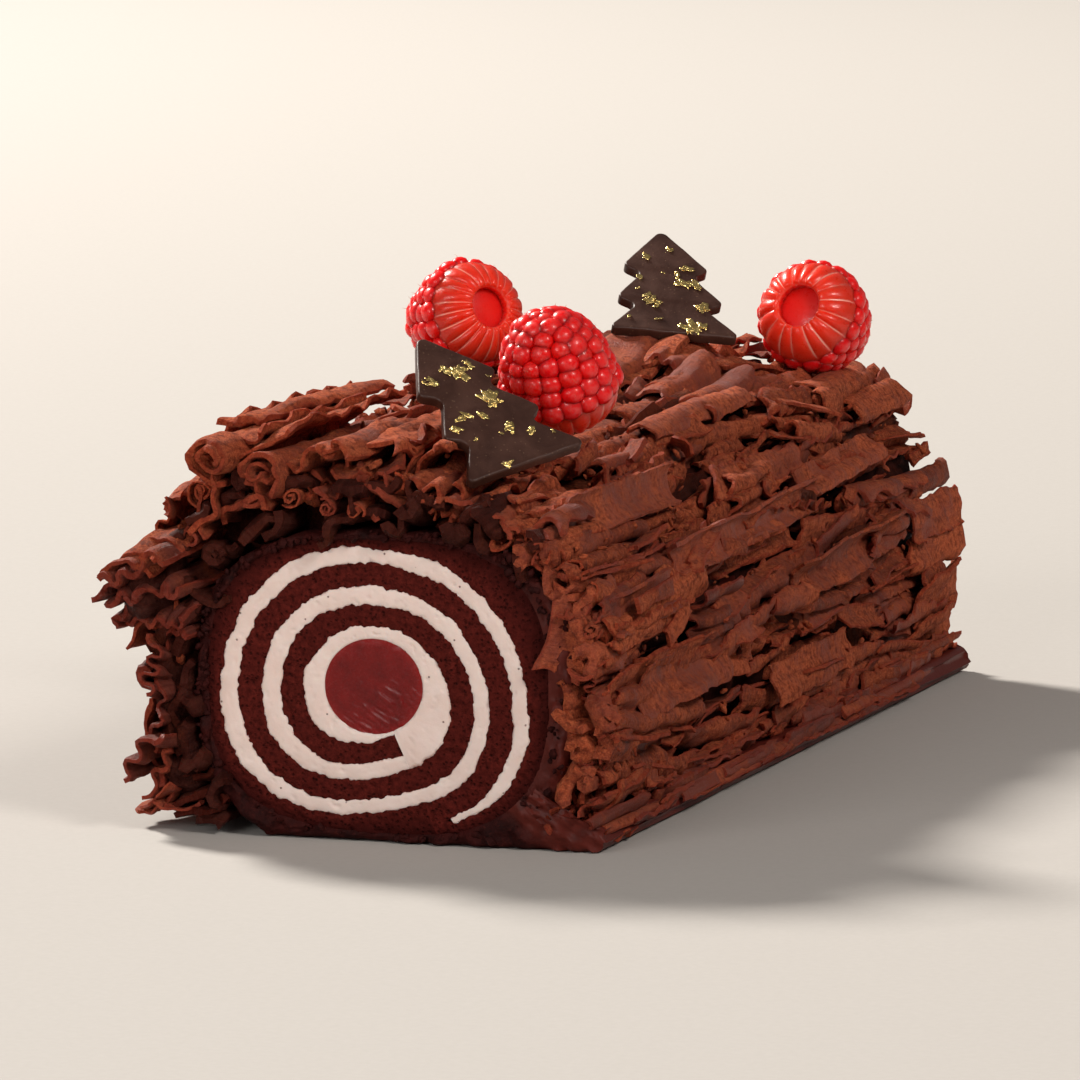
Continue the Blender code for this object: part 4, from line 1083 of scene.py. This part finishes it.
    # Cellular pleats down the left, and the fanned sheets at its foot
    # The pleats and sheets down the left are low in tone and dust: partly the chocolate's own dark colour, partly
    # painted shade on this side
    for x, z, width, fold, tone in (
        (-39.0, 33.0, 20, 7.8, 0.2), (-41.6, 27.5, 21, 8.6, 0.3), (-39.2, 21.0, 20, 7.2, 0.2), (-40.8, 15.0, 18, 7.8, 0.3), (-39.0, 10.0, 14, 6.4, 0.4),
    ):
        facing = math.pi + rng.uniform(-0.9, 0.9)
        middle = (x, -HALF + 17 - rng.uniform(1.0, 4.0), z)
        lay = in_space(middle, (rng.normal(0, 0.06), 1.0, rng.normal(0, 0.06)), (math.cos(facing), 0.0, math.sin(facing)))
        shape = {"fold": fold, "tone": tone, "dust": rng.uniform(-0.5, 0.2), "torn": 0.6, "thick": rng.uniform(1.0, 1.8)}
        shaving(heap["pleat"], rng, lay, "pleat", rng.uniform(32, 42), width, **shape)
    for x, z in ((-44.0, 36.5), (-44.6, 27.5), (-44.0, 20.0), (-42.0, 12.5)):
        shape = {"lean": rng.uniform(-0.6, 0.6), "tone": rng.uniform(0.0, 0.4), "dust": rng.uniform(-0.4, 0.4), "ruffle": 0.35, "thick": 1.5, "torn": 0.5}
        put("sheet", x, z, -HALF - 1.0 - rng.uniform(0, 2.0), rng.uniform(26, 40), rng.uniform(7, 11), (0.02, 0.0), **shape)
    for x, z, facing in ((-38.0, 7.6, 2.4), (-39.5, 5.2, 2.0), (-36.0, 4.4, 1.5), (-42.0, 4.6, 1.9)):
        lay = in_space((x, -HALF + 13, z), (0.12, 1.0, 0.02), (math.cos(facing), 0.0, math.sin(facing)))
        shaving(heap["sheet"], rng, lay, "sheet", 32, 9.5, bow=0.12, lean=0.0, tone=1.0, dust=0.15, ruffle=0.6, torn=0.8)
    # Dark sheets that fill the gap between the bark and the coat at the bottom left: painted shade
    for x, z in ((-33.5, 3.6), (-33.0, 6.2), (-35.5, 8.6)):
        lay = in_space((x, -HALF + 12, z), (0.03, 1.0, 0.0), (-0.2, 0.0, 1.0))
        shaving(heap["inner"], rng, lay, "sheet", 26, 11.0, lean=0.0, bow=0.0, tone=0.4, dust=0.2, thick=2.0, torn=0.5)
    # The right: broken ends that overhang the coat, and rough bits on the foot's corner
    for a in np.arange(30, 88, 4.6):
        lift = rng.uniform(-4.5, -1.0)
        kind = str(rng.choice(["pleat", "sheet", "sheet", "scroll"]))
        length = rng.uniform(24, 48)
        lay = on_log(a, -120.5 + length / 2 - rng.uniform(0, 2.5), lift, rng.normal(0, 0.07))
        shaving(heap[kind], rng, lay, kind, length, rng.uniform(*WIDTHS[kind]), torn=0.9, dust=rng.uniform(0.1, 0.8))
    for x, z, length in ((41.5, 3.4, 20), (38.0, 4.2, 16), (34.5, 3.2, 14), (40.5, 6.2, 22), (37.0, 7.2, 18), (41.5, 8.5, 28), (37.0, 10.5, 20), (40.0, 12.0, 26)):
        put("sheet", x, z, -121.5 + rng.uniform(0, 2), length, 8, (0.04, 0.0), lean=rng.uniform(-0.5, 0.9), tone=rng.uniform(0.3, 1.0), dust=rng.uniform(0, 0.6), torn=1.0)


def build_features(heap, rng):
    """Broad smooth troughs and light strips picked out along the right side and the top."""
    # Round the bark, along it, lift, length, width, bow, lean, tone, dust, swing
    for a, y, lift, length, width, bow, lean, tone, dust, swing in (
        (49.5, -22.0, 0.3, 104, 8.5, 0.27, -0.20, 1.0, 0.25, 0.01),
        (46.0, 50.0, 0.2, 66, 7.0, 0.26, 0.15, 0.9, 0.45, 0.03),
        (55.0, -96.0, 0.2, 42, 9, 0.24, 0.10, 0.8, 0.00, 0.02),
        (24.0, 2.0, 2.0, 66, 7.5, -0.22, 0.25, 1.0, 0.40, -0.02),
        (-4.0, 30.0, 1.4, 58, 16, -0.14, 0.05, 0.9, 0.25, 0.03),
        (12.5, 31.0, -0.4, 38, 12, -0.26, -0.10, 0.9, 0.05, 0.02),
        (-24.0, 62.0, 3.2, 30, 9, -0.25, 0.50, 0.3, 0.30, 0.12),
        (-20.0, 78.0, 2.8, 26, 8, 0.25, -0.50, 0.4, 0.50, 0.10),
        (3.0, 56.0, 0.8, 30, 9, -0.20, 0.30, 0.8, 0.60, 0.05),
        (36.0, -75.0, 0.4, 60, 9, 0.24, -0.35, 0.9, 0.35, -0.02),
        (63.0, 40.0, 0.4, 84, 11, 0.24, -0.25, 0.6, 0.55, 0.02),
        (70.0, -75.0, 0.2, 62, 11, 0.22, 0.15, 0.7, 0.30, 0.0),
        (80.0, 10.0, 0.2, 60, 7, 0.30, 0.45, 0.8, 0.60, 0.0),
        (33.0, 88.0, 0.8, 50, 10, -0.20, -0.30, 0.6, 0.70, 0.02),
        (30.0, 86.0, 1.6, 44, 10, -0.18, 0.05, 0.7, 0.60, 0.03),
        (37.0, 94.0, 1.2, 40, 9, -0.20, 0.15, 0.8, 0.80, 0.01),
        (-62.0, 10.0, 0.6, 90, 12, 0.20, 0.10, 0.8, 0.30, 0.03),
        (-40.0, 60.0, 1.0, 70, 11, -0.18, 0.20, 0.8, 0.50, -0.03),
    ):
        shape = {"bow": bow, "lean": lean, "tone": tone, "dust": dust, "ruffle": 0.15, "torn": 0.6, "rim": 0.6}
        shaving(heap["sheet"], rng, on_log(a, y, lift, swing), "sheet", length, width, 1.1, **shape)
    # Ragged ends that flare out of the far right
    for a, lift in ((56.0, 1.0), (63.0, 1.8), (70.0, 0.8), (78.0, 0.4)):
        lay = on_log(a, HALF - 16.0, lift - 0.6, rng.normal(0.04, 0.04), 0.03)
        shaving(heap["sheet"], rng, lay, "sheet", 34, rng.uniform(8, 11), lean=rng.uniform(-0.5, 0.3), torn=0.8)
    # Ribbons hanging down over the foot
    for y in np.arange(-106, 104, 11.0):
        lay = on_log(ROUND_RIGHT - rng.uniform(0.0, 3.0), y, rng.uniform(-0.6, 1.2), rng.normal(0, 0.05))
        shape = {"lean": rng.uniform(-0.2, 0.6), "dust": rng.uniform(0.2, 0.9), "ruffle": 0.8}
        shaving(heap["sheet"], rng, lay, "sheet", rng.uniform(18, 40), rng.uniform(4, 6.5), 1.0, **shape)
    # Thin layers stuck to the foot's own side
    for y in np.arange(-106, 100, 7.0):
        z = rng.uniform(2.6, 7.6)
        out = 43.4 - 0.7 * max(0.0, z - 4.0) + FOOT_FLARE * (y / (2 * HALF) + 0.5)
        lay = in_space((out, y, z), (FOOT_FLARE / (2 * HALF), 1.0, rng.normal(0, 0.008)), (1.0, 0.0, 0.3))
        shape = {"lean": rng.normal(0, 0.25), "bow": 0.0, "ruffle": 0.3, "dust": rng.uniform(-0.3, 0.5), "tone": rng.uniform(0.2, 1.0)}
        shaving(heap["sliver"], rng, lay, "sheet", rng.uniform(20, 52), rng.uniform(2.2, 4.0), 1.0, thick=rng.uniform(0.8, 1.4), torn=0.6, **shape)


def build_shavings():
    rng = np.random.default_rng(24)
    heap = {kind: Heap() for kind in ("deep", "inner", "strip", "sheet", "pleat", "scroll", "sliver")}
    for number in range(len(LAYERS)):
        scatter(heap, rng, number)
    build_front(heap, rng)
    build_features(heap, rng)
    flakes(heap["sliver"], rng, 1000, (0.35, 1.5), (-3.0, -0.1))
    names = {"deep": "shavings_deep_shaded", "inner": "shavings_inner_shaded", "strip": "shavings_strips", "sheet": "shavings_broad", "pleat": "shavings_pleated", "scroll": "shavings_rolled", "sliver": "shavings_fine"}
    clean = {"deep": 0.2, "inner": 0.6, "strip": 0.0, "sheet": 0.05, "pleat": 0.2, "scroll": 0.1, "sliver": 0.0}
    for kind, name in names.items():
        # The deep and packed pieces get a darker copy of the material as painted shade; the rest a lighter one
        shade = {"deep": 0.5, "inner": 0.48}.get(kind, 1.36)
        heap[kind].piece(name, shaving_material(name, clean[kind], shade), "bark", ["bark"], 65)


# ---------------------------------------------------------------- raspberries
# For each berry: its centre from the lowest corner of its CAD box, the way its hollow end looks, spin and size
BERRIES = {
    "raspberry_left": ((15.06, 9.83, 12.06), (0.76, -0.57, 0.31), 10, 1.02),
    "raspberry_middle": ((11.62, 12.83, 7.28), (0.14, 0.38, -0.91), 25, 1.05),
    "raspberry_right": ((11.26, 7.08, 12.18), (-0.14, -0.91, 0.39), 0, 1.05),
}


def berry_profile(lean):
    """Radius and height of the berry above its widest part, for lean from -1 at the hollow's lip to 1 at the tip."""
    if lean < 0:
        swing = -lean * math.acos(0.406)
        return 10.1 * math.cos(swing), -5.4 * math.sin(swing)
    swing = lean * math.pi / 2
    return 10.1 * math.cos(swing) ** 0.8, 16.0 * math.sin(swing) ** 1.06


def build_berry(name, material, hairs, seed):
    offset, axis, spin, scale = BERRIES[name]
    low = np.array(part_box(name)[0]) / MM
    turn = Vector((0, 0, -1)).rotation_difference(Vector(axis).normalized()) @ Matrix.Rotation(math.radians(spin), 3, "Z").to_quaternion()
    basis = np.array(turn.to_matrix())
    place = low + np.array(offset)
    rng = np.random.default_rng(seed)
    sphere, faces = ball(2)
    heap = Heap()
    tips = []
    # Drupelets in staggered rows, each a plump grain pressed against its neighbours
    leans = (0.075, 0.190, 0.305, 0.425, 0.550, 0.685, 0.820, 0.95)
    turned = 0.0
    for row, lean in enumerate(leans):
        radius, height = berry_profile(lean)
        low_radius, low_height = berry_profile(lean - 0.03)
        up = np.array([radius - low_radius, height - low_height])
        up /= np.linalg.norm(up)
        count = max(3, round(TAU * radius / 3.55))
        turned += math.pi / count
        for i in range(count):
            angle = TAU * (i + rng.normal(0, 0.07)) / count + turned
            out = np.array([math.cos(angle), math.sin(angle), 0.0])
            round_way = np.array([-math.sin(angle), math.cos(angle), 0.0])
            rise = out * up[0] + np.array([0, 0, up[1]])
            face = np.cross(round_way, rise)
            size = rng.uniform(0.86, 1.14)
            across = 0.60 * TAU * radius / count * size
            high = rng.uniform(1.85, 2.15) * size
            deep = 1.55 * size
            bulge = np.where(sphere[:, 2] > 0, 1.0, 0.9)[:, None]
            shape = sphere[:, :1] * across * round_way + sphere[:, 1:2] * high * rise + sphere[:, 2:] * deep * face * bulge
            middle = out * radius + np.array([0, 0, height]) - face * (deep - 1.05 - rng.uniform(-0.2, 0.25)) + rise * rng.normal(0, 0.15)
            dents = 1 + 0.05 * noise(shape[:, 0] / 1.4, shape[:, 1] / 1.4, shape[:, 2] / 1.4, seed + row)
            # Lighter towards each drupelet's outward top: painted highlight
            peak_highlight_and_pale_line = np.clip(sphere[:, 2], 0, 1) ** 1.5
            look = np.stack([peak_highlight_and_pale_line, 0 * peak_highlight_and_pale_line, 0 * peak_highlight_and_pale_line + rng.uniform(0, 1)], axis=-1)
            heap.add((shape * dents[:, None] + middle) * scale, faces, look)
            tips.append((middle + face * deep * 0.97, face))
    # The inner ends of the drupelets lie round the hollow like the segments of an orange,
    # with a thin pale line between each two and a pale rim to the hollow
    segments, hole = {"raspberry_left": (22, 3.9), "raspberry_right": (17, 4.1)}.get(name, (20, 4.0))
    parts = rng.uniform(0.75, 1.25, segments)
    edges = np.concatenate([[0], np.cumsum(parts)]) / parts.sum() * TAU
    across = np.linspace(0, 1, 10)[:-1]
    angles = (edges[:-1, None] + (edges[1:] - edges[:-1])[:, None] * across).ravel()
    rib = np.tile(np.sin(math.pi * across) ** 0.6, segments)
    line = np.tile(np.exp(-np.minimum(across, 1 - across) / 0.07), segments)
    pale = np.repeat(rng.uniform(0.25, 1.0, segments), len(across))
    shade = np.repeat(rng.uniform(0, 1, segments), len(across))
    swell = np.repeat(rng.uniform(0.7, 1.25, segments), len(across))
    rings = []
    looks = []
    for share in np.linspace(0, 1, 44):
        if share < 0.62:
            # From under the outer drupelets over the broad rounded lip to the edge of the hollow
            part = share / 0.62
            bend = part * 1.85
            ring_radius = hole + (9.9 - hole) * (0.5 + 0.5 * math.cos(math.pi * part)) ** 0.85
            ring_height = 0.8 - 6.0 * math.sin(min(bend, math.pi / 2)) + 0.9 * max(0.0, bend - math.pi / 2) / 0.28
            plump = 0.62 * math.sin(math.pi * min(1.0, part * 1.05)) ** 0.7 * swell * (rib - 0.6)
            waver = 0.10 * noise(angles * 5, part * 4, 0, seed)
            ring_radius = ring_radius + 0.35 * plump + 0 * angles
            ring_height = ring_height - plump - waver
            rim = np.clip((part - 0.86) / 0.08, 0, 1) * np.clip((1.02 - part) / 0.06, 0, 1)
            fade = math.sin(math.pi * min(1.0, part)) ** 0.5
            peak_highlight_and_pale_line = 0.35 + (0.80 + 1.25 * pale) * line * fade + 1.0 * rim * (1 - line)
            look = np.stack([peak_highlight_and_pale_line, 0.55 + 0.4 * part + 0 * angles, shade], axis=-1)
        else:
            part = (share - 0.62) / 0.38
            ring_radius = np.maximum(hole * (1 - part**2.6) + 0.02 + 0.18 * (rib - 0.5) * (1 - part), 0.02)
            ring_height = -4.3 + (6.1 + 4.3) * part**0.9 + 0 * angles
            look = np.stack([0.2 + 0 * angles, 0.25 * (1 - part) + 0 * angles, 0.5 + 0 * angles], axis=-1)
        rings.append(np.stack([ring_radius * np.cos(angles), ring_radius * np.sin(angles), ring_height], axis=-1))
        looks.append(look)
    # Its back, hidden inside the berry
    for share in np.linspace(0.08, 1, 14):
        lean = 1 - share * 1.55
        radius, height = berry_profile(lean)
        keep = 0.92
        rings.append(np.stack([radius * keep * np.cos(angles) + 0.01, radius * keep * np.sin(angles), (height * keep) + 0 * angles], axis=-1))
        looks.append(np.zeros((len(angles), 3)))
    inner = np.stack(rings[:44])
    outer = np.stack(rings[44:][::-1])
    shell = np.concatenate([outer[::-1][::-1], inner])
    rows, columns = shell.shape[:2]
    points = np.concatenate([shell.reshape(-1, 3), shell[0].mean(axis=0)[None], shell[-1].mean(axis=0)[None]])
    index = np.arange(columns)
    after = np.roll(index, -1)
    last = index + (rows - 1) * columns
    beside = after + (rows - 1) * columns
    start = 0 * index + rows * columns
    quads = np.concatenate(
        [
            grid_quads(rows, columns, 0, True),
            np.stack([after, index, start, start], axis=-1),
            np.stack([last, beside, start + 1, start + 1], axis=-1),
        ]
    )
    if volume(points, quads) < 0:
        quads = quads[:, FLIP]
    look = np.concatenate([np.concatenate(looks[44:][::-1]), np.concatenate(looks[:44]), np.zeros((2, 3)) + 0.3])
    heap.add(points * scale, quads, look)
    for part, rows_ in enumerate(heap.points):
        heap.points[part] = rows_ @ basis.T + place
    heap.piece(name + "_fruit", material, "raspberry", [name], 80)
    # Fine hairs, the dried styles, standing out between and on the drupelets
    strands = Heap()
    for tip, face in tips:
        if rng.uniform() > 0.28:
            continue
        bend = rng.normal(0, 0.6, 3)
        length = rng.uniform(0.3, 0.9)
        rings = []
        for share in (0.0, 0.35, 0.7, 1.0):
            centre = tip + (face + bend * share) * length * share
            side = np.cross(face, (0.3, 0.2, 0.9))
            side /= np.linalg.norm(side)
            other = np.cross(face, side)
            width = 0.055 * (1 - 0.8 * share)
            rings.append([centre + width * (side * math.cos(w) + other * math.sin(w)) for w in (0, TAU / 3, 2 * TAU / 3)])
        points = np.array(rings).reshape(-1, 3)
        quads = np.concatenate([grid_quads(4, 3, 0, True), [[1, 0, 2, 2]], [[9, 10, 11, 11]]])
        if volume(points, quads) < 0:
            quads = quads[:, FLIP]
        strands.add((points * scale) @ basis.T + place, quads)
    strands.piece(name + "_hairs", hairs, "raspberry", [name], 80)


# ---------------------------------------------------------------- plaques
# For each plaque: the middle of its base edge from the lowest corner of its CAD box, its turn, and its gold leaf
PLAQUES = {
    "tree_plaque_front": (
        (26.10, 9.14, 3.99),
        (35.7, -12.7, 52.0),
        (
            (-0.3, 26.0, 1.3), (1.6, 25.2, 1.9), (4.4, 25.6, 1.1), (-4.5, 24.2, 1.3), (-6.3, 25.2, 0.7), (3.2, 16.0, 1.7),
            (-4.3, 14.6, 1.5), (-1.0, 13.6, 1.1), (2.0, 9.2, 1.5), (-0.4, 8.4, 0.5), (4.9, 6.7, 0.9), (8.9, 4.4, 0.7),
            (-8.0, 12.3, 1.2), (-6.0, 8.7, 0.8), (-4.4, 0.9, 1.2), (6.1, 21.6, 0.6),
        ),
    ),
    "tree_plaque_back": (
        (15.61, 4.81, 2.83),
        (28.9, 5.8, 25.0),
        (
            (-4.3, 25.6, 1.2), (1.0, 29.0, 0.9), (3.4, 23.0, 1.2), (1.6, 20.6, 1.0), (-1.0, 20.2, 0.5), (-5.7, 18.4, 1.2),
            (-6.2, 14.9, 0.9), (2.8, 17.0, 1.8), (5.6, 16.8, 1.4), (-3.9, 9.6, 1.7), (-4.6, 11.9, 1.1), (-2.5, 4.2, 0.9),
            (6.0, 9.0, 1.8), (3.2, 1.8, 2.2), (5.4, 2.2, 1.3), (-9.0, 4.3, 0.7),
        ),
    ),
}


def tree_outline(grow):
    """A fir tree of three tiers with rounded corners, anticlockwise, moved outwards by grow."""
    right = ((13.5, 0.0, 1.0), (7.0, 9.0, 1.7), (11.0, 11.3, 1.3), (5.2, 20.1, 1.7), (8.8, 22.8, 1.3))
    corners = right + ((0.0, 36.3, 1.5),) + tuple((-x, y, r) for x, y, r in right[::-1])
    points = []
    count = len(corners)
    for i, (x, y, radius) in enumerate(corners):
        here = Vector((x, y))
        before = (Vector(corners[i - 1][:2]) - here).normalized()
        after = (Vector(corners[(i + 1) % count][:2]) - here).normalized()
        half = before.angle(after) / 2
        reach = radius / math.tan(half)
        centre = here + (before + after).normalized() * (radius / math.sin(half))
        start = here + before * reach - centre
        sweep = start.angle_signed(here + after * reach - centre)
        for n in range(9):
            turned = start.copy()
            turned.rotate(Matrix.Rotation(-sweep * n / 8, 2))
            points.append((centre.x + turned.x, centre.y + turned.y))
    points = np.array(points)
    step = np.linalg.norm(np.diff(np.vstack([points, points[:1]]), axis=0), axis=1)
    length = np.concatenate([[0], np.cumsum(step)])
    even = np.linspace(0, length[-1], 261)[:-1]
    closed = np.vstack([points, points[:1]])
    outline = np.stack([np.interp(even, length, closed[:, 0]), np.interp(even, length, closed[:, 1])], axis=-1)
    along = np.roll(outline, -1, axis=0) - np.roll(outline, 1, axis=0)
    along /= np.linalg.norm(along, axis=1, keepdims=True)
    outwards = np.stack([along[:, 1], -along[:, 0]], axis=-1)
    wave = 0.10 * noise(outline[:, 0] / 2.5, outline[:, 1] / 2.5, 0, 5)
    return outline + outwards * (grow + wave[:, None])


def build_plaque(name, chocolate, gold, seed):
    offset, angles, leaves = PLAQUES[name]
    place = np.array(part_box(name)[0]) / MM + np.array(offset)
    basis = np.array(Euler([math.radians(angle) for angle in angles]).to_matrix())
    thickness = 2.1
    bevel = 0.42
    levels = []
    for n in range(6):
        swing = math.pi / 2 * n / 5
        levels.append((-bevel * (1 - math.sin(swing)), -bevel * (1 - math.cos(swing))))
    levels.append((0.0, -0.9))
    for n in range(4):
        swing = math.pi / 2 * n / 3
        levels.append((-0.2 * (1 - math.cos(swing)), -thickness + 0.2 * (1 - math.sin(swing))))
    rings = []
    for grow, height in levels:
        flat = tree_outline(grow)
        uneven = 0.06 * noise(flat[:, 0] / 3, flat[:, 1] / 3, height / 2, seed)
        rings.append(np.stack([flat[:, 0], flat[:, 1], height + uneven * (height > -0.5)], axis=-1))
    rings = np.stack(rings)
    rows, columns = rings.shape[:2]
    quads = [grid_quads(rows, columns, 0, True)]
    for row, turn_over in ((0, True), (rows - 1, False)):
        outline = [Vector((x, y, 0)) for x, y in rings[row, :, :2]]
        triangles = np.array(tessellate_polygon([outline])) + row * columns
        corners = [rings.reshape(-1, 3)[triangles[:, n]] for n in range(3)]
        way = np.cross(corners[1] - corners[0], corners[2] - corners[0])[:, 2]
        faces = np.concatenate([triangles, triangles[:, 2:]], axis=1)
        wrong = (way < 0) if turn_over else (way > 0)
        faces[wrong] = faces[wrong][:, FLIP]
        quads.append(faces)
    points = rings.reshape(-1, 3)
    quads = np.concatenate([quads[0][:, FLIP]] + quads[1:])
    if volume(points, quads[: (rows - 1) * columns]) < 0:
        quads[: (rows - 1) * columns] = quads[: (rows - 1) * columns][:, FLIP]
    heap = Heap()
    heap.add(points @ basis.T + place, quads)
    heap.piece(name + "_chocolate", chocolate, "plaque", [name], 35)
    rng = np.random.default_rng(seed)
    foil = Heap()
    ring_count = 5
    spokes = 24
    for x, y, size in leaves:
        pieces = 1 + int(size > 1.0) + int(size > 1.6)
        for _ in range(pieces):
            angle = np.linspace(0, TAU, spokes + 1)[:-1][None, :]
            share = np.linspace(0.04, 1, ring_count)[:, None]
            key = int(rng.integers(1 << 16))
            edge = 1 + 0.55 * noise(np.cos(angle) * 1.6, np.sin(angle) * 1.6, 0, key) + 0.28 * noise(np.cos(angle) * 4.5, np.sin(angle) * 4.5, 1, key)
            long = rng.uniform(0.70, 1.15) * size
            wide = long * rng.uniform(0.35, 0.75)
            lie = rng.uniform(0, TAU)
            across = share * edge * np.cos(angle) * long
            along = share * edge * np.sin(angle) * wide
            px = x + rng.normal(0, 0.32) * size + across * math.cos(lie) - along * math.sin(lie)
            py = y + rng.normal(0, 0.28) * size + across * math.sin(lie) + along * math.cos(lie)
            crease = 0.12 * noise(px / 0.42, py / 0.42, 0, key + 3) + 0.10 * noise(px / 0.9, py / 0.9, 0, key + 4)
            pz = 0.14 + crease
            top = np.stack([px, py, pz + 0.03], axis=-1)
            under = np.stack([px, py, pz], axis=-1)
            rows, columns = px.shape
            count = rows * columns
            index = np.arange(columns)
            after = np.roll(index, -1)
            outer = index + count - columns
            beside = after + count - columns
            middle = 0 * index + 2 * count
            quads = np.concatenate(
                [
                    grid_quads(rows, columns, 0, True),
                    grid_quads(rows, columns, count, True)[:, FLIP],
                    np.stack([outer, beside, beside + count, outer + count], axis=-1),
                    np.stack([after, index, middle, middle], axis=-1),
                    np.stack([index + count, after + count, middle + 1, middle + 1], axis=-1),
                ]
            )
            points = np.concatenate([top.reshape(-1, 3), under.reshape(-1, 3), [top[0].mean(axis=0)], [under[0].mean(axis=0)]])
            if volume(points, quads) < 0:
                quads = quads[:, FLIP]
            foil.add(points @ basis.T + place, quads)
    foil.piece(name + "_gold", gold, "plaque", [name], 180)


# ---------------------------------------------------------------- camera, light and floor
def build_stage():
    scene = bpy.context.scene
    azimuth = math.radians(18.4)
    elevation = math.radians(8.5)
    back = Vector((math.sin(azimuth) * math.cos(elevation), -math.cos(azimuth) * math.cos(elevation), math.sin(elevation)))
    right = Vector((math.cos(azimuth), math.sin(azimuth), 0.0))
    up = back.cross(right)
    camera = bpy.data.objects.new("camera", bpy.data.cameras.new("camera"))
    camera.data.lens = 294.9
    camera.data.sensor_width = 36.0
    camera.data.clip_end = 30.0
    camera.location = Vector((0.0, -HALF, AXIS)) * MM + back * 1.6
    backwards = (back * 1.6 - right * 0.0301 - up * 0.0265).normalized()
    sideways = up.cross(backwards).normalized()
    camera.rotation_euler = Matrix((sideways, backwards.cross(sideways), backwards)).transposed().to_euler()
    scene.collection.objects.link(camera)
    scene.camera = camera

    floor_mesh = bpy.data.meshes.new("floor")
    half = 6.0
    floor_mesh.from_pydata([(-half, -half, -0.0003), (half, -half, -0.0003), (half, half, -0.0003), (-half, half, -0.0003)], [], [(0, 1, 2, 3)])
    floor = bpy.data.objects.new("floor", floor_mesh)
    paper = Shading("floor_paper")
    fibre = paper.grain(paper.add("ShaderNodeTexCoord", output="Object"), 700, 3)
    paper.set(Base_Color=paper.mix(fibre, (0.42, 0.395, 0.37), (0.46, 0.435, 0.41)), Roughness=0.9)
    floor_mesh.materials.append(paper.material)
    scene.collection.objects.link(floor)

    world = bpy.data.worlds.new("studio")
    world.use_nodes = True
    world.node_tree.nodes["Background"].inputs["Color"].default_value = (0.95, 0.92, 0.90, 1.0)
    world.node_tree.nodes["Background"].inputs["Strength"].default_value = 0.14
    scene.world = world

    def area(name, place, size, power, colour):
        light = bpy.data.lights.new(name, "AREA")
        light.shape = "RECTANGLE"
        light.size, light.size_y = size
        light.energy = power
        light.color = colour
        obj = bpy.data.objects.new(name, light)
        obj.location = place
        obj.rotation_euler = (Vector((0.0, 0.0, 0.04)) - Vector(place)).to_track_quat("-Z", "Y").to_euler()
        scene.collection.objects.link(obj)

    area("key", (-2.6, 1.7, 2.4), (0.66, 0.66), 280.0, (1.0, 0.95, 0.88))
    area("fill", (1.9, -1.2, 1.9), (0.8, 0.8), 42.0, (1.0, 0.94, 0.88))
    area("front", (-0.6, -2.4, 0.9), (1.4, 0.9), 24.0, (1.0, 0.97, 0.94))
    scene.view_settings.view_transform = "Standard"


build_stage()
build_roll()
build_jelly()
build_coat()
build_core()
build_shavings()
flesh = berry_material()
hair = hair_material()
for number, berry in enumerate(BERRIES):
    build_berry(berry, flesh, hair, 60 + number)
dark = plaque_material()
leaf = gold_material()
for number, plaque in enumerate(PLAQUES):
    build_plaque(plaque, dark, leaf, 80 + number)
